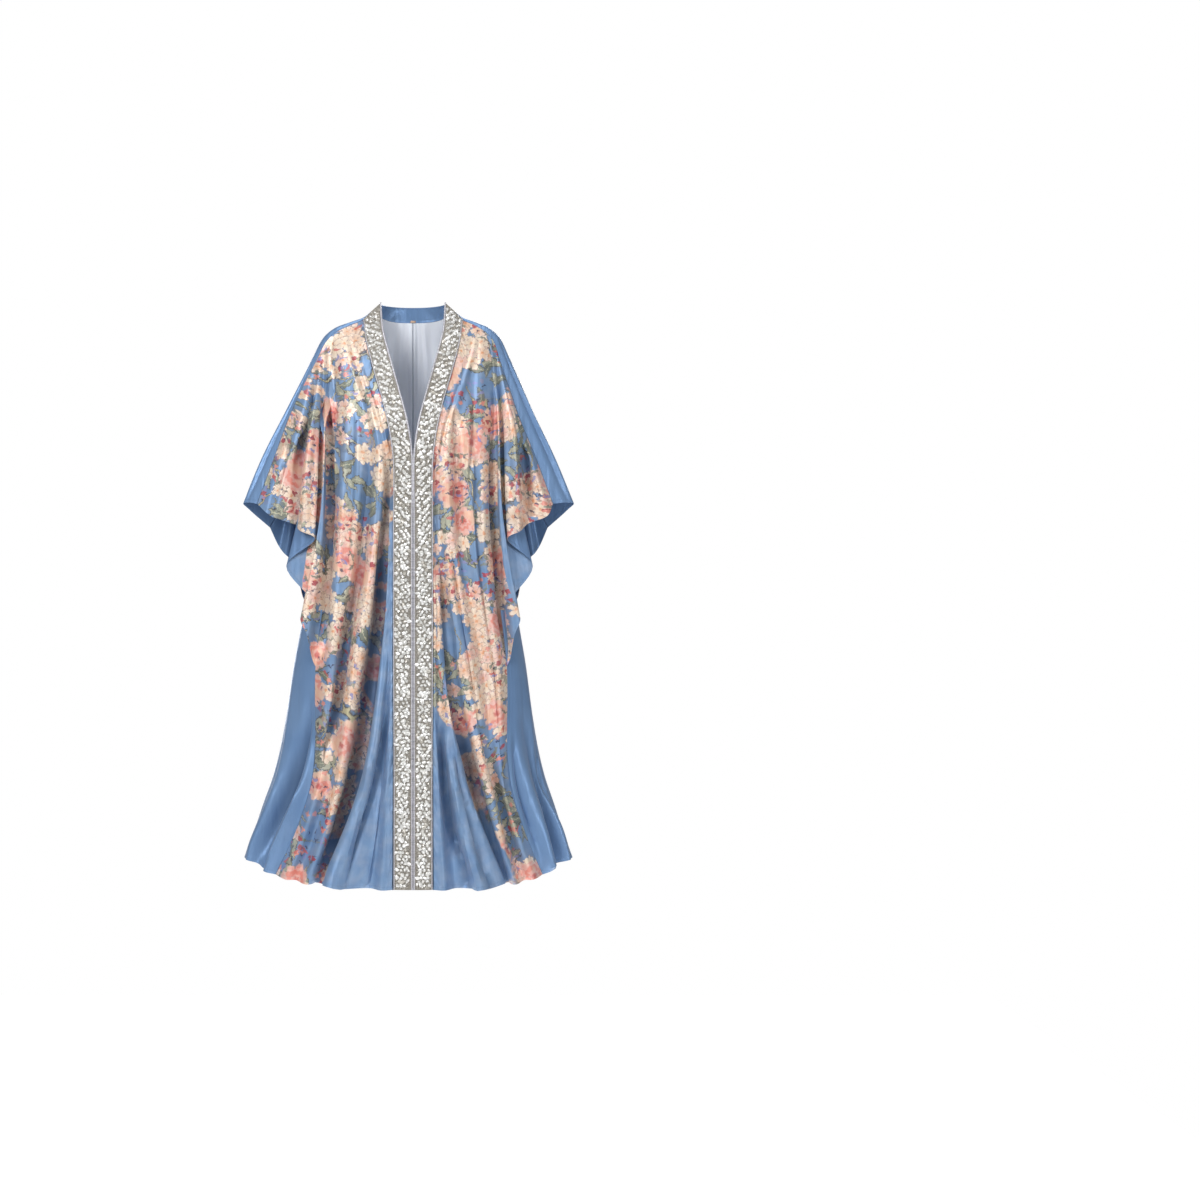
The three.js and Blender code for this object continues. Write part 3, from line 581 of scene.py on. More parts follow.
    # buds, then short strokes of the brush, thickest where the clusters are
    for per_metre, shift, size, colour, low, rare in ((46.0, (8.8, 3.3), 0.34, CRIMSON, 0.51, 0.78),
                                                      (54.0, (2.4, 9.1), 0.36, CORAL, 0.47, 0.80)):
        away, far, centre, chance = scattered(place, per_metre, shift)
        bud, middle = petals(away, far, chance[0], 3, size, 0.4)
        kept = cluster(centre, 8.0, (0.3, 0.2), low) * chance[1].step(rare, rare + 0.01) * shown
        base = base.over(colour, bud * kept * 0.9)
    for per_metre, shift, length, width, colour, low, rare in (
            (56.0, (5.2, 5.9), 0.42, 0.12, INK, 0.48, 0.70),
            (44.0, (1.7, 2.8), 0.50, 0.15, DUSK, 0.50, 0.70),
            (38.0, (6.6, 0.4), 0.52, 0.13, CORAL_DEEP, 0.50, 0.76),
            (34.0, (3.9, 7.2), 0.50, 0.12, LEAF_DARK, 0.46, 0.66)):
        away, far, centre, chance = scattered(place, per_metre, shift)
        inside, middle = leaf_shape(away, chance[0], length, width)
        kept = cluster(centre, 8.0, (0.3, 0.2), low) * chance[1].step(rare, rare + 0.01) * shown
        base = base.over(colour, inside.step(0.0, 0.03) * kept * 0.85)

    base = base.over(PALE, cloth.noise(34.0, 4.0).step(0.3, 0.8) * 0.10)
    satin_surface(shader, cloth, base, 0.37, 0.49)
    return material


# The satin's colours, those of the print, and the navy painted as shade into the troughs
STITCHES_PER_METRE = 280
THREAD_SHADE, SEAM_SHADE, PAINTED_TROUGH_SHADE = (0.10, 0.17, 0.32), (0.07, 0.11, 0.20), (0.026, 0.048, 0.110)
SATIN_BLUE, SATIN_DEEP = (0.182, 0.302, 0.512), (0.152, 0.264, 0.466)
REVERSE_BLUE, REVERSE_DEEP = (0.165, 0.280, 0.490), (0.140, 0.240, 0.430)
GROUND_BLUE, GROUND_DEEP = (0.184, 0.298, 0.484), (0.158, 0.262, 0.444)
CREAM, PEACH, PALE, BLUSH = (0.82, 0.66, 0.51), (0.80, 0.53, 0.38), (0.88, 0.79, 0.70), (0.80, 0.49, 0.43)
PETAL_EDGE, PETAL_GAP, EYE = (0.44, 0.28, 0.22), (0.46, 0.33, 0.29), (0.70, 0.28, 0.12)
CORAL, CORAL_DEEP, CRIMSON = (0.76, 0.29, 0.23), (0.56, 0.12, 0.11), (0.38, 0.045, 0.065)
LEAF_LINE, LEAF_DARK = (0.09, 0.09, 0.08), (0.19, 0.21, 0.17)
LEAF_PALE, LEAF_VEIN = (0.42, 0.42, 0.33), (0.56, 0.54, 0.38)
STEM_DARK, STEM_LIGHT = (0.10, 0.085, 0.075), (0.50, 0.45, 0.28)
INK, DUSK = (0.045, 0.05, 0.11), (0.25, 0.26, 0.50)
floral = printed_satin("floral_satin")
blue = plain_satin("blue_satin", SATIN_BLUE, SATIN_DEEP)
reverse = plain_satin("satin_reverse", REVERSE_BLUE, REVERSE_DEEP)

flutes = np.array(BACK_FLUTES["at"])
panel_u = np.sort(np.concatenate([flutes, (flutes[1:] + flutes[:-1]) / 2]))
BACK_CREASES = [  # height, share of the panel's half width, how far the cloth stands out, half width
    [(-120, 0.86, 0, 0.05), (-260, 0.84, -3, 0.05), (-520, 0.86, -5, 0.05), (-760, 0.90, -3, 0.05),
     (-880, 0.9, 0, 0.05)],
    [(-100, -0.84, 0, 0.05), (-280, -0.83, -3, 0.05), (-540, -0.86, -5, 0.05), (-860, -0.9, 0, 0.05)],
    [(-180, 0.42, 0, 0.07), (-420, 0.40, -2, 0.08), (-760, 0.40, -3, 0.08), (-1000, 0.42, 0, 0.08)],
    [(-240, -0.30, 0, 0.07), (-480, -0.31, -2, 0.08), (-820, -0.33, -3, 0.08), (-1040, -0.36, 0, 0.08)],
    [(-640, -0.62, 0, 0.04), (-860, -0.60, -5, 0.05), (-1150, -0.62, -8, 0.05), (-1362, -0.64, -3, 0.06)],
    [(-700, -0.45, 0, 0.05), (-920, -0.45, 4, 0.05), (-1180, -0.46, 6, 0.06), (-1362, -0.47, 3, 0.06)],
    [(-820, -0.24, 0, 0.04), (-1000, -0.25, -4, 0.05), (-1240, -0.27, -7, 0.05), (-1362, -0.28, -3, 0.05)],
    [(-760, 0.16, 0, 0.05), (-960, 0.20, -4, 0.05), (-1200, 0.22, -7, 0.05), (-1362, 0.23, -3, 0.05)],
    [(-900, 0.02, 0, 0.05), (-1100, 0.0, 4, 0.05), (-1300, -0.02, 5, 0.05), (-1362, -0.02, 3, 0.05)],
    [(-620, 0.66, 0, 0.04), (-900, 0.68, -5, 0.05), (-1160, 0.70, -8, 0.05), (-1362, 0.71, -3, 0.06)],
    [(-740, 0.52, 0, 0.05), (-960, 0.56, 4, 0.05), (-1220, 0.57, 6, 0.05), (-1362, 0.58, 3, 0.05)],
    [(-900, 0.86, 0, 0.04), (-1100, 0.86, 4, 0.05), (-1300, 0.87, 4, 0.05), (-1362, 0.87, 2, 0.05)],
    [(-900, -0.82, 0, 0.04), (-1100, -0.81, 4, 0.05), (-1300, -0.82, 4, 0.05), (-1362, -0.82, 2, 0.05)],
]
points = finer(placed(back_net(panel_u)), FINE_ROWS, PANEL_COLUMNS)
column = np.arange(points.shape[1]) / PANEL_COLUMNS
fine_u = np.interp(column, np.arange(len(panel_u)), panel_u)[None, :]
calm = np.clip((1 - np.abs(fine_u)) * SEAM_CALM, 0, 1)
lift = crease_lift(BACK_CREASES, fine_u, points[..., 2]) * calm
points = creased(points, lift)
back_panel = cloth_shell("back_panel_cloth", points, [floral, reverse], shift=(3, 1),
                         hem=near(way_to(points, FOOT_EDGE)), trough=painted_trough_shade(lift),
                         seam=near(way_to(points, LEFT_EDGE, RIGHT_EDGE, TOP_EDGE)))
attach(back_panel, "root")
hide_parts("back_panel")

# Backs of the sleeves
# Printed satin that turns plain blue towards the underarm, sewn to the back panel above the underarm joint.
# The spare cloth hangs in folds from the strip's back seam, and the free edge is hemmed.
STRIP = {  # stations over the shoulder and down the sleeve: ridge line, front seam and back seam
    "ridge": [(97, 0, 31), (121, 0, 12), (152, 0, 1), (189, 0, -13), (215, 0, -35), (241, 0, -87),
              (270, 0, -150), (305, 0, -225), (357, 0, -330), (407, 0, -446)],
    "left": [0, 0, 2, 10, 14, 24, 32, 42, 50, 54],      # the front seam lies this far in from the ridge
    "right": [0, 0, 1, 3, 5, 8, 8, 12, 28, 36],
    "drop": [3, 6, 8, 12, 14, 10, 6, 2, 0, 2],          # this far below it
    "depth": [5, 13, 16, 20, 22, 23, 24, 26, 30, 34],   # and this far in front
    "back": [(97, 3, 28), (121, 11, 9), (155, 14, -5), (156.1, 54, -60), (174, 62, -98),
             (195, 64, -140), (220, 60, -203), (250, 56, -282), (292, 54, -395), (347, 48, -503)],
}
SIDES = ((1, "left"), (-1, "right"))
WIDEST_INSET = 54
FLATTER_FRONT = 0.075   # a narrower strip curls less far to the front, by this share of its inset
SHOULDER_START = 1      # the station where the band's outer edge begins
SLEEVE_START = 3        # the station where the gore seam's column begins
OUTER_START = 6         # the station where the top row turns down the sleeve
WRIST = 9
SLEEVE_BACK_FOLDS = {  # start on the strip's seam, then three points down to the free edge
    "start": [3.3, 3.6, 3.9, 4.2, 4.5, 4.85, 5.2, 5.6],
    "upper": [(180, 94, -275), (203, 86, -262), (206, 72, -255), (217, 84, -262), (226, 70, -262),
              (234, 72, -262), (241, 60, -265), (248, 62, -276)],
    "lower": [(208, 102, -520), (231, 94, -490), (214, 72, -470), (248, 82, -445), (262, 62, -430),
              (272, 74, -415), (282, 54, -420), (296, 60, -432)],
    "edge": [(238, 112, -800), (265, 104, -757), (241, 78, -712), (262, 74, -690), (279, 60, -645),
             (292, 70, -597), (308, 52, -573), (326, 58, -550)],
}


def front_seam_at(side, station):
    """Front seam of the strip: the ridge line moved in, down and forward by the table's amounts."""
    ridge = np.array(STRIP["ridge"], float)
    inset = np.array(STRIP["left" if side > 0 else "right"], float)
    depth = np.array(STRIP["depth"]) - FLATTER_FRONT * (WIDEST_INSET - inset)
    seam = np.stack([ridge[:, 0] - inset, -depth, ridge[:, 2] - np.array(STRIP["drop"])], axis=1)
    return through(seam, station)


def back_seam_at(station):
    """Back seam of the strip: straight pieces over the shoulder, then a smooth curve down the sleeve."""
    station = np.atleast_1d(np.asarray(station, float))
    points = np.array(STRIP["back"], float)
    count = np.arange(len(points))
    straight = np.stack([np.interp(station, count, points[:, k]) for k in range(3)], axis=1)
    curved = through(points[SLEEVE_START:], np.maximum(station - SLEEVE_START, 0))
    return np.where((station < SLEEVE_START)[:, None], straight, curved)


def sleeve_folds(table, starts, share):
    """One strand for each fold, through its start on the seam and its three points, at those shares."""
    strands = [through([start, upper, lower, edge], share * 3) for start, upper, lower, edge
               in zip(starts, table["upper"], table["lower"], table["edge"])]
    return np.stack(strands, axis=1)


def back_side_net():
    """Rows from the strip's back seam to the free edge, across the folds of the back of the sleeve."""
    rows = np.arange(UPPER_ROWS + 1)
    share = rows / UPPER_ROWS
    inner = back_body_point(np.ones(len(rows)), back_row_z(rows))[:, None]
    starts = back_seam_at(SLEEVE_BACK_FOLDS["start"])
    outer = back_seam_at(OUTER_START + share * (WRIST - OUTER_START))[:, None]
    return np.concatenate([inner, sleeve_folds(SLEEVE_BACK_FOLDS, starts, share), outer], axis=1)


BACK_SIDE_CREASES = [  # share of the way down, column of the net, how far the cloth stands out, half width
    [(0.05, 1.0, 0, 0.5), (0.3, 1.0, 4, 0.5), (0.7, 1.1, 5, 0.5), (1, 1.1, 2, 0.5)],
    [(0.1, 1.8, 0, 0.4), (0.35, 1.8, -5, 0.4), (0.75, 1.8, -5, 0.4), (1, 1.8, -2, 0.4)],
    [(0.1, 4.2, 0, 0.5), (0.4, 4.2, 5, 0.5), (0.8, 4.2, 5, 0.5), (1, 4.2, 3, 0.5)],
    [(0.1, 5.0, 0, 0.5), (0.4, 5.0, -7, 0.5), (0.8, 5.0, -7, 0.5), (1, 5.0, -3, 0.5)],
    [(0.1, 6.0, 0, 0.5), (0.4, 6.0, 5, 0.5), (0.8, 6.0, 5, 0.5), (1, 6.0, 3, 0.5)],
    [(0.1, 7.0, 0, 0.5), (0.4, 7.0, -6, 0.5), (0.8, 7.0, -6, 0.5), (1, 7.0, -3, 0.5)],
    [(0.2, 8.3, 0, 0.4), (0.5, 8.3, 3, 0.4), (0.8, 8.4, 3, 0.4), (1, 8.4, 0, 0.4)],
]
BACK_PLAIN_Z = -470     # below this the back of the sleeve is plain blue beside the panel
BACK_PLAIN_EDGE = 160   # the print fades over this height
BACK_PLAIN_COLUMN = 3.8    # and the plain blue ends before this column
SLEEVE_COLUMNS = 9      # columns of cloth for each column of the net
OUTER_COLUMN = 9        # number of the net's last column
SEAM_ROWS = 12          # rows over which a panel's top is drawn to its seam


def drawn_to_seam(points, seam_points, start):
    """The grid from column start on, with its top row on the seam's points, easing off over SEAM_ROWS."""
    ease = np.clip(1 - np.arange(len(points)) / SEAM_ROWS, 0, 1)[:, None, None] ** 2
    points = points.copy()
    points[:, start:] += (seam_points - points[0, start:]) * ease
    return points


for side, word in SIDES:
    points = finer(placed(back_side_net(), side), FINE_ROWS, SLEEVE_COLUMNS)
    column = np.linspace(0, OUTER_COLUMN, points.shape[1])
    stations = np.interp(column, np.arange(OUTER_COLUMN + 1),
                         [SLEEVE_START, *SLEEVE_BACK_FOLDS["start"], OUTER_START])
    points = drawn_to_seam(points, placed(back_seam_at(stations), side), 0)
    down = np.linspace(0, 1, len(points))[:, None]
    column = column[None, :]
    calm = np.clip(column, 0, 1) * np.clip(OUTER_COLUMN - column, 0, 1)
    lift = crease_lift(BACK_SIDE_CREASES, column, down) * calm
    points = creased(points, lift)
    plain = np.clip(0.5 + (BACK_PLAIN_Z - points[..., 2]) / BACK_PLAIN_EDGE, 0, 1)
    plain = plain * np.clip(BACK_PLAIN_COLUMN - column, 0, 1)
    piece = cloth_shell(f"back_side_{word}_cloth", points, [floral, reverse], shift=(6, 2), plain=plain,
                        hem=near(way_to(points, FOOT_EDGE)), trough=painted_trough_shade(lift),
                        seam=near(way_to(points, LEFT_EDGE, RIGHT_EDGE)))
    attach(piece, "root")
    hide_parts(f"back_side_{word}")

# Fronts
# Printed satin cut in one with the front of the kimono sleeve, from the closing edge to the free edge.
# The fullness hangs in folds from the shoulder, and the gore is sewn to it below the underarm joint.
FOLD_COLUMNS = 8        # columns of cloth for each fold of the net
LAST_COLUMN = 19        # number of the net's column at the sleeve's seam
SLEEVE_FADE = 3         # the sleeve's creases start this many columns past FLAP_COLUMN
PUCKER_REACH = 24       # the finest gathers reach this far from the band
INNER_FLAP = {"column": 11.3, "columns": 1.1, "z": -465, "reach": 85}    # plain blue in the sleeve's fold
FOLD_LEVELS = [0, -250, -500, -845, -1100, -1362]
FRONT_FOLDS = {  # share of the way from band to gore seam, and how far the cloth stands out, at each level
    "band edge": [(0, 0, 0, 0, 0, 0), (0, 0, 0, 0, 0, 0)],
    "band crest": [(0.12, 0.03, 0.02, 0.03, 0.07, 0.10), (0, 0, 0, 1, 6, 12)],
    "band valley": [(0.24, 0.06, 0.04, 0.07, 0.14, 0.21), (0, 0, 0, -2, -9, -18)],
    "centre crest": [(0.36, 0.10, 0.07, 0.16, 0.33, 0.48), (0, 1, 1, 9, 16, 20)],
    "main valley": [(0.48, 0.15, 0.11, 0.29, 0.51, 0.64), (0, -2, -5, -12, -18, -24)],
    "middle crest": [(0.6, 0.22, 0.27, 0.50, 0.67, 0.74), (0, 4, 8, 12, 14, 16)],
    "outer valley": [(0.72, 0.36, 0.44, 0.67, 0.80, 0.83), (0, -4, -8, -10, -11, -14)],
    "outer crest": [(0.85, 0.60, 0.66, 0.83, 0.91, 0.91), (0, 5, 10, 12, 12, 14)],
    "gore seam": [(1, 1, 1, 1, 1, 1), (0, -3, -6, -6, -6, -6)],
}
SLEEVE_FRONT_FOLDS = {
    "start": [3.35, 3.65, 3.95, 4.25, 4.6, 4.95, 5.3, 5.65],
    "upper": [(207, -72, -240), (211, -70, -235), (213, -58, -230), (220, -50, -225), (223, -66, -215),
              (236, -73, -215), (241, -54, -222), (253, -55, -230)],
    "lower": [(214, -84, -500), (221, -84, -480), (211, -60, -455), (262, -42, -430), (227, -72, -390),
              (256, -80, -385), (281, -50, -375), (304, -56, -366)],
    "edge": [(250, -100, -768), (265, -92, -728), (236, -64, -697), (301, -44, -601), (233, -74, -535),
             (264, -80, -518), (290, -50, -497), (337, -54, -479)],
}
FRONT_CREASES = {  # height, how far to the side, how far the cloth stands out, half width
    1: [
        # beside the sleeve
        [(-155, 199, 0, 5), (-252, 197, -4, 6), (-408, 195, -8, 6), (-514, 199, -9, 6), (-653, 209,
         -9, 6), (-725, 215, -8, 6), (-794, 225, -4, 6), (-839, 228, 0, 6)],
        # main valley
        [(-330, 53, 0, 5), (-370, 54, -5, 5), (-408, 55, -8, 5), (-584, 60, -10, 6), (-689, 71, -13, 7),
         (-777, 77, -14, 8), (-846, 86, -14, 9), (-898, 95, -14, 9), (-975, 109, -13, 9),
         (-1055, 130, -12, 9), (-1132, 149, -11, 9), (-1211, 172, -9, 9), (-1283, 194, -7, 9),
         (-1361, 220, -4, 9)],
        # crest outside it
        [(-492, 81, 0, 7), (-584, 84, 3, 7), (-689, 96, 5, 8), (-758, 105, 5, 8), (-862, 116, 5, 8),
         (-945, 130, 5, 9), (-1025, 151, 5, 9), (-1118, 175, 5, 9), (-1195, 195, 4, 9), (-1271, 216,
         0, 9)],
        # middle trough
        [(-540, 93, 0, 5), (-636, 103, -4, 5), (-758, 119, -5, 6), (-862, 136, -5, 6), (-921, 147,
         -5, 6), (-1039, 175, -5, 7), (-1155, 205, -5, 7), (-1271, 237, -3, 7), (-1340, 260, 0, 7)],
        # outer trough
        [(-252, 161, 0, 8), (-396, 156, -5, 8), (-540, 160, -6, 8), (-684, 174, -6, 8), (-827, 190,
         -6, 8), (-968, 201, -5, 8), (-1109, 222, -4, 8), (-1248, 256, 0, 8)],
        # blue trough
        [(-921, 45, 0, 5), (-1008, 63, -5, 6), (-1148, 78, -8, 7), (-1241, 92, -8, 8), (-1319, 120,
         -5, 9), (-1361, 129, -2, 9)],
        # blue crest
        [(-968, 73, 0, 6), (-1055, 87, 5, 7), (-1148, 104, 7, 8), (-1241, 122, 8, 10), (-1319, 150, 12, 13),
         (-1361, 160, 14, 14)],
        # second blue trough
        [(-1015, 92, 0, 4), (-1086, 107, -4, 5), (-1181, 132, -6, 6), (-1257, 154, -7, 6), (-1303,
         167, -6, 7), (-1361, 183, -2, 7)],
        # second blue crest
        [(-1109, 120, 0, 5), (-1181, 141, 4, 6), (-1257, 169, 6, 8), (-1329, 195, 9, 10),
         (-1361, 204, 10, 10)],
        # crest by the band
        [(-588, 48, 0, 4), (-725, 54, 3, 4), (-862, 69, 4, 5), (-921, 78, 0, 5)],
        # chest crease
        [(-192, 101, 0, 6), (-276, 103, -4, 6), (-396, 108, -5, 7), (-540, 115, -4, 7), (-660, 127,
         0, 6)],
        # shoulder crease
        [(-110, 144, 0, 12), (-190, 147, -3, 9), (-276, 149, -5, 7), (-396, 137, -3, 6), (-492, 132, 0, 6)],
    ],
    -1: [
        # beside the sleeve
        [(-71, 216, 0, 5), (-119, 215, -4, 5), (-204, 211, -7, 6), (-288, 204, -9, 6), (-396, 203,
         -10, 7), (-516, 203, -10, 7), (-619, 206, -9, 7), (-705, 214, -8, 7), (-791, 219, -5, 6),
         (-846, 221, 0, 6)],
        # outer valley
        [(-276, 106, 0, 8), (-372, 107, -5, 9), (-478, 117, -7, 9), (-619, 131, -8, 9), (-689, 146,
         -9, 9), (-758, 159, -9, 9), (-846, 172, -9, 9), (-914, 181, -9, 9), (-1008, 200, -9, 9),
         (-1086, 218, -5, 8), (-1144, 233, 0, 8)],
        # crest outside it
        [(-300, 163, 0, 12), (-444, 172, 4, 12), (-684, 184, 5, 12), (-846, 195, 5, 11), (-968, 204,
         4, 9), (-1062, 215, 0, 8)],
        # main valley
        [(-204, 58, 0, 6), (-300, 58, -4, 6), (-442, 61, -8, 7), (-548, 71, -10, 8), (-619, 75, -12, 9),
         (-725, 84, -13, 10), (-829, 98, -14, 11), (-898, 107, -14, 12), (-1008, 122, -14, 12),
         (-1118, 142, -14, 12), (-1165, 154, -13, 12), (-1227, 172, -12, 12), (-1273, 189, -10, 12),
         (-1361, 222, -5, 11)],
        # blue crest
        [(-779, 57, 0, 6), (-928, 79, 5, 8), (-1025, 92, 7, 9), (-1118, 111, 8, 11), (-1195, 133, 10, 13),
         (-1257, 154, 12, 15), (-1317, 174, 15, 17), (-1361, 186, 17, 17)],
        # second trough
        [(-921, 59, 0, 5), (-1008, 70, -5, 6), (-1118, 88, -7, 7), (-1211, 116, -8, 8), (-1273, 135,
         -7, 9), (-1322, 150, -4, 9), (-1361, 162, -2, 9)],
        # second crest
        [(-968, 52, 0, 5), (-1055, 57, 3, 5), (-1148, 69, 5, 6), (-1211, 85, 6, 8), (-1287, 97, 8, 9),
         (-1361, 108, 10, 10)],
        # thin crease
        [(-968, 52, 0, 3), (-1008, 54, -2, 3), (-1118, 64, -3, 3), (-1195, 79, -3, 3), (-1273, 92,
         -3, 3), (-1329, 94, 0, 3)],
        # shoulder crease
        [(-85, 192, 0, 9), (-155, 195, -3, 7), (-252, 192, -5, 5), (-372, 185, -5, 6), (-492, 182, -3, 6),
         (-588, 182, 0, 6)],
        # chest crease
        [(-204, 147, 0, 8), (-300, 146, -3, 8), (-444, 151, -4, 8), (-588, 160, -3, 8), (-684, 170,
         0, 8)],
    ],
}
SLEEVE_CREASES = {  # height, how far to the side, how far the cloth stands out, half width
    1: [
        # long valley
        [(-143, 240, 0, 5), (-204, 255, -6, 6), (-300, 269, -8, 7), (-396, 280, -8, 7), (-481, 287,
         -5, 7)],
        # crest beside it
        [(-167, 233, 0, 4), (-252, 240, 4, 6), (-396, 249, 5, 6), (-516, 254, 3, 6)],
        # outer crease
        [(-204, 283, 0, 5), (-300, 312, -3, 6), (-396, 333, -4, 7), (-469, 352, -2, 7)],
    ],
    -1: [
        # long valley
        [(-112, 234, 0, 6), (-167, 245, -6, 7), (-213, 253, -9, 8), (-271, 264, -10, 8), (-360, 279,
         -10, 8), (-442, 287, -9, 8), (-516, 294, -6, 7)],
        # crest beside it
        [(-204, 238, 0, 6), (-300, 247, 5, 7), (-372, 255, 6, 8), (-469, 261, 5, 8), (-540, 263, 2,
         7)],
        # outer crease
        [(-204, 279, 0, 5), (-300, 305, -3, 6), (-396, 328, -4, 7), (-481, 347, -2, 7)],
    ],
}
PLAIN_HALF = {  # height, and how far from the middle the print leaves off there and plain blue follows
    1: ([-930, -960, -1010, -1126, -1243, -1362], [30, 47, 120, 148, 195, 250]),
    -1: ([-400, -439, -606, -779, -1012, -1126, -1243, -1362], [30, 50, 62, 88, 114, 145, 172, 226]),
}
PLAIN_EDGE = 80                  # the print fades over this width
PLAIN_TIP = {  # the flap's tip is plain blue outside this line, from its height down
    1: [(-505, 214), (-547, 209), (-601, 216), (-650, 226), (-690, 240)],
    -1: [(-505, 238), (-547, 241), (-601, 253), (-665, 262), (-700, 268)],
}
PLAIN_TIP_EDGE = 8
TIP_COLUMNS = 2.7                # this many columns behind the flap's edge belong to the tip
FOLD_DEPTH = 1.8                 # the main folds stand out this much more than listed
BAND_COLUMN = 2                  # numbers of columns of the net: the band's outer edge, the flap's edge
FLAP_COLUMN = 12
NECK_TOP = (79, -3.4, 46.5)      # top of the closing edge
NECK_MIDDLE = (99, -5, 28)       # and of the middle of the band
CLOSED_BAND_HALF = 46
SEAM_FOLD = 10                   # number of the gore seam among the net's columns


def front_net(side):
    """The front's net: columns for the band, the body's folds and the sleeve's, rows down to the hem."""
    row = np.arange(UPPER_ROWS + LOWER_ROWS + 1)
    share = np.minimum(row / UPPER_ROWS, 1)[:, None]
    low_z = JOINT_Z + np.maximum(row - UPPER_ROWS, 0)[:, None] / LOWER_ROWS * (HEM_Z - JOINT_Z)
    at, lift = np.array(list(FRONT_FOLDS.values()), float).transpose(1, 0, 2)
    fold_top = front_seam_at(side, SHOULDER_START + (SLEEVE_START - SHOULDER_START) * at[:, 0])
    tops = np.concatenate([[NECK_TOP, NECK_MIDDLE], fold_top])
    z = np.where(share < 1, tops[:, 2] + share * (JOINT_Z - tops[:, 2]), low_z)
    band, opening, seam = body("band", z), body("opening", z), body("seam", z)
    across = np.stack([along_table(FOLD_LEVELS, at[k], z[:, k + 2]) for k in range(len(at))], axis=1)
    rise = np.stack([along_table(FOLD_LEVELS, lift[k], z[:, k + 2]) for k in range(len(at))], axis=1)
    x = np.concatenate([opening[:, :1], (opening[:, 1:2] + band[:, 1:2]) / 2,
                        band[:, 2:] + across * (seam[:, 2:] - band[:, 2:])], axis=1)
    rise = np.concatenate([np.zeros((len(row), 2)), rise], axis=1)
    hem_x = np.concatenate([x[:, :2], np.broadcast_to(
        CLOSED_BAND_HALF + at[:, -1] * (BODY["seam"][-1] - CLOSED_BAND_HALF), across.shape)], axis=1)
    y = -oval_depth(x, body("side", z), body("front", z)) - rise
    net = stacked(x, y, sagged(z, hem_x))
    net[0] = tops
    upper = np.arange(UPPER_ROWS + 1) / UPPER_ROWS
    sleeve = sleeve_folds(SLEEVE_FRONT_FOLDS, front_seam_at(side, SLEEVE_FRONT_FOLDS["start"]), upper)
    seam_line = front_seam_at(side, OUTER_START + upper * (WRIST - OUTER_START))[:, None]
    return net, np.concatenate([net[:UPPER_ROWS + 1], sleeve, seam_line], axis=1)


def front_surface(side):
    """The fine grid of a front, and which of its points exist: below the joint only the body's do."""
    low, high = [finer(placed(net, side), FINE_ROWS, FOLD_COLUMNS) for net in front_net(side)]
    shared = low.shape[1] - FOLD_COLUMNS // 2
    points = np.zeros((len(low), high.shape[1], 3))
    points[:len(high)] = high
    points[:, :shared] = low[:, :shared]
    points[len(high) - 1:, :low.shape[1]] = low[len(high) - 1:]
    keep = np.ones(points.shape[:2], bool)
    keep[len(high):, low.shape[1]:] = False
    return points, keep


for side, word in SIDES:
    points, keep = front_surface(side)
    column = np.arange(points.shape[1]) / FOLD_COLUMNS
    band_edge = BAND_COLUMN * FOLD_COLUMNS
    at = np.array([across[0] for across, lift in FRONT_FOLDS.values()])
    body_folds = SHOULDER_START + (SLEEVE_START - SHOULDER_START) * at
    folds = [*body_folds, *SLEEVE_FRONT_FOLDS["start"], OUTER_START]
    stations = np.interp(column[band_edge:], np.arange(BAND_COLUMN, BAND_COLUMN + len(folds)), folds)
    points = drawn_to_seam(points, placed(front_seam_at(side, stations), side), band_edge)
    x, z = np.abs(points[..., 0]), points[..., 2]
    on_body = FOLD_DEPTH * np.clip(column - BAND_COLUMN, 0, 1) * (column <= FLAP_COLUMN)
    on_sleeve = FOLD_DEPTH * np.clip(column - FLAP_COLUMN - SLEEVE_FADE, 0, 1)
    on_sleeve = on_sleeve * np.clip(LAST_COLUMN - column, 0, 1)
    lift = crease_lift(FRONT_CREASES[side], x, z) * on_body
    lift = lift + crease_lift(SLEEVE_CREASES[side], x, z) * on_sleeve
    points = creased(points, lift, keep)
    plain_half = np.interp(z, *[values[::-1] for values in PLAIN_HALF[side]])
    plain = np.clip(0.5 + (plain_half - x) / PLAIN_EDGE, 0, 1) * (column < SEAM_FOLD + 0.5)
    plain = np.where(z > PLAIN_HALF[side][0][0], 0, plain)
    inner_flap = np.exp(-((column - INNER_FLAP["column"]) / INNER_FLAP["columns"]) ** 2)
    inner_flap = inner_flap * np.exp(-((z - INNER_FLAP["z"]) / INNER_FLAP["reach"]) ** 2)
    tip_z, tip_x = np.array(PLAIN_TIP[side], float).T
    tip = np.clip((x - np.interp(z, tip_z[::-1], tip_x[::-1])) / PLAIN_TIP_EDGE, 0, 1)
    tip = tip * (z < tip_z[0]) * (z > tip_z[-1]) * (column < FLAP_COLUMN + TIP_COLUMNS)
    edge_row = np.where(column <= SEAM_FOLD, len(points) - 1, UPPER_ROWS * FINE_ROWS)
    hem = way_to(points, (edge_row, np.arange(points.shape[1])))
    beside = way_to(points, np.s_[:, [band_edge]])
    seam = np.minimum(beside, way_to(points, RIGHT_EDGE))
    piece = cloth_shell(f"front_{word}_cloth", points, [floral, reverse], keep=keep,
                        plain=np.max([plain, inner_flap, tip], axis=0), hem=near(hem), seam=near(seam),
                        trough=painted_trough_shade(lift), band=near(beside, PUCKER_REACH) * (column > BAND_COLUMN))
    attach(piece, "root")
    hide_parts(f"front_{word}")

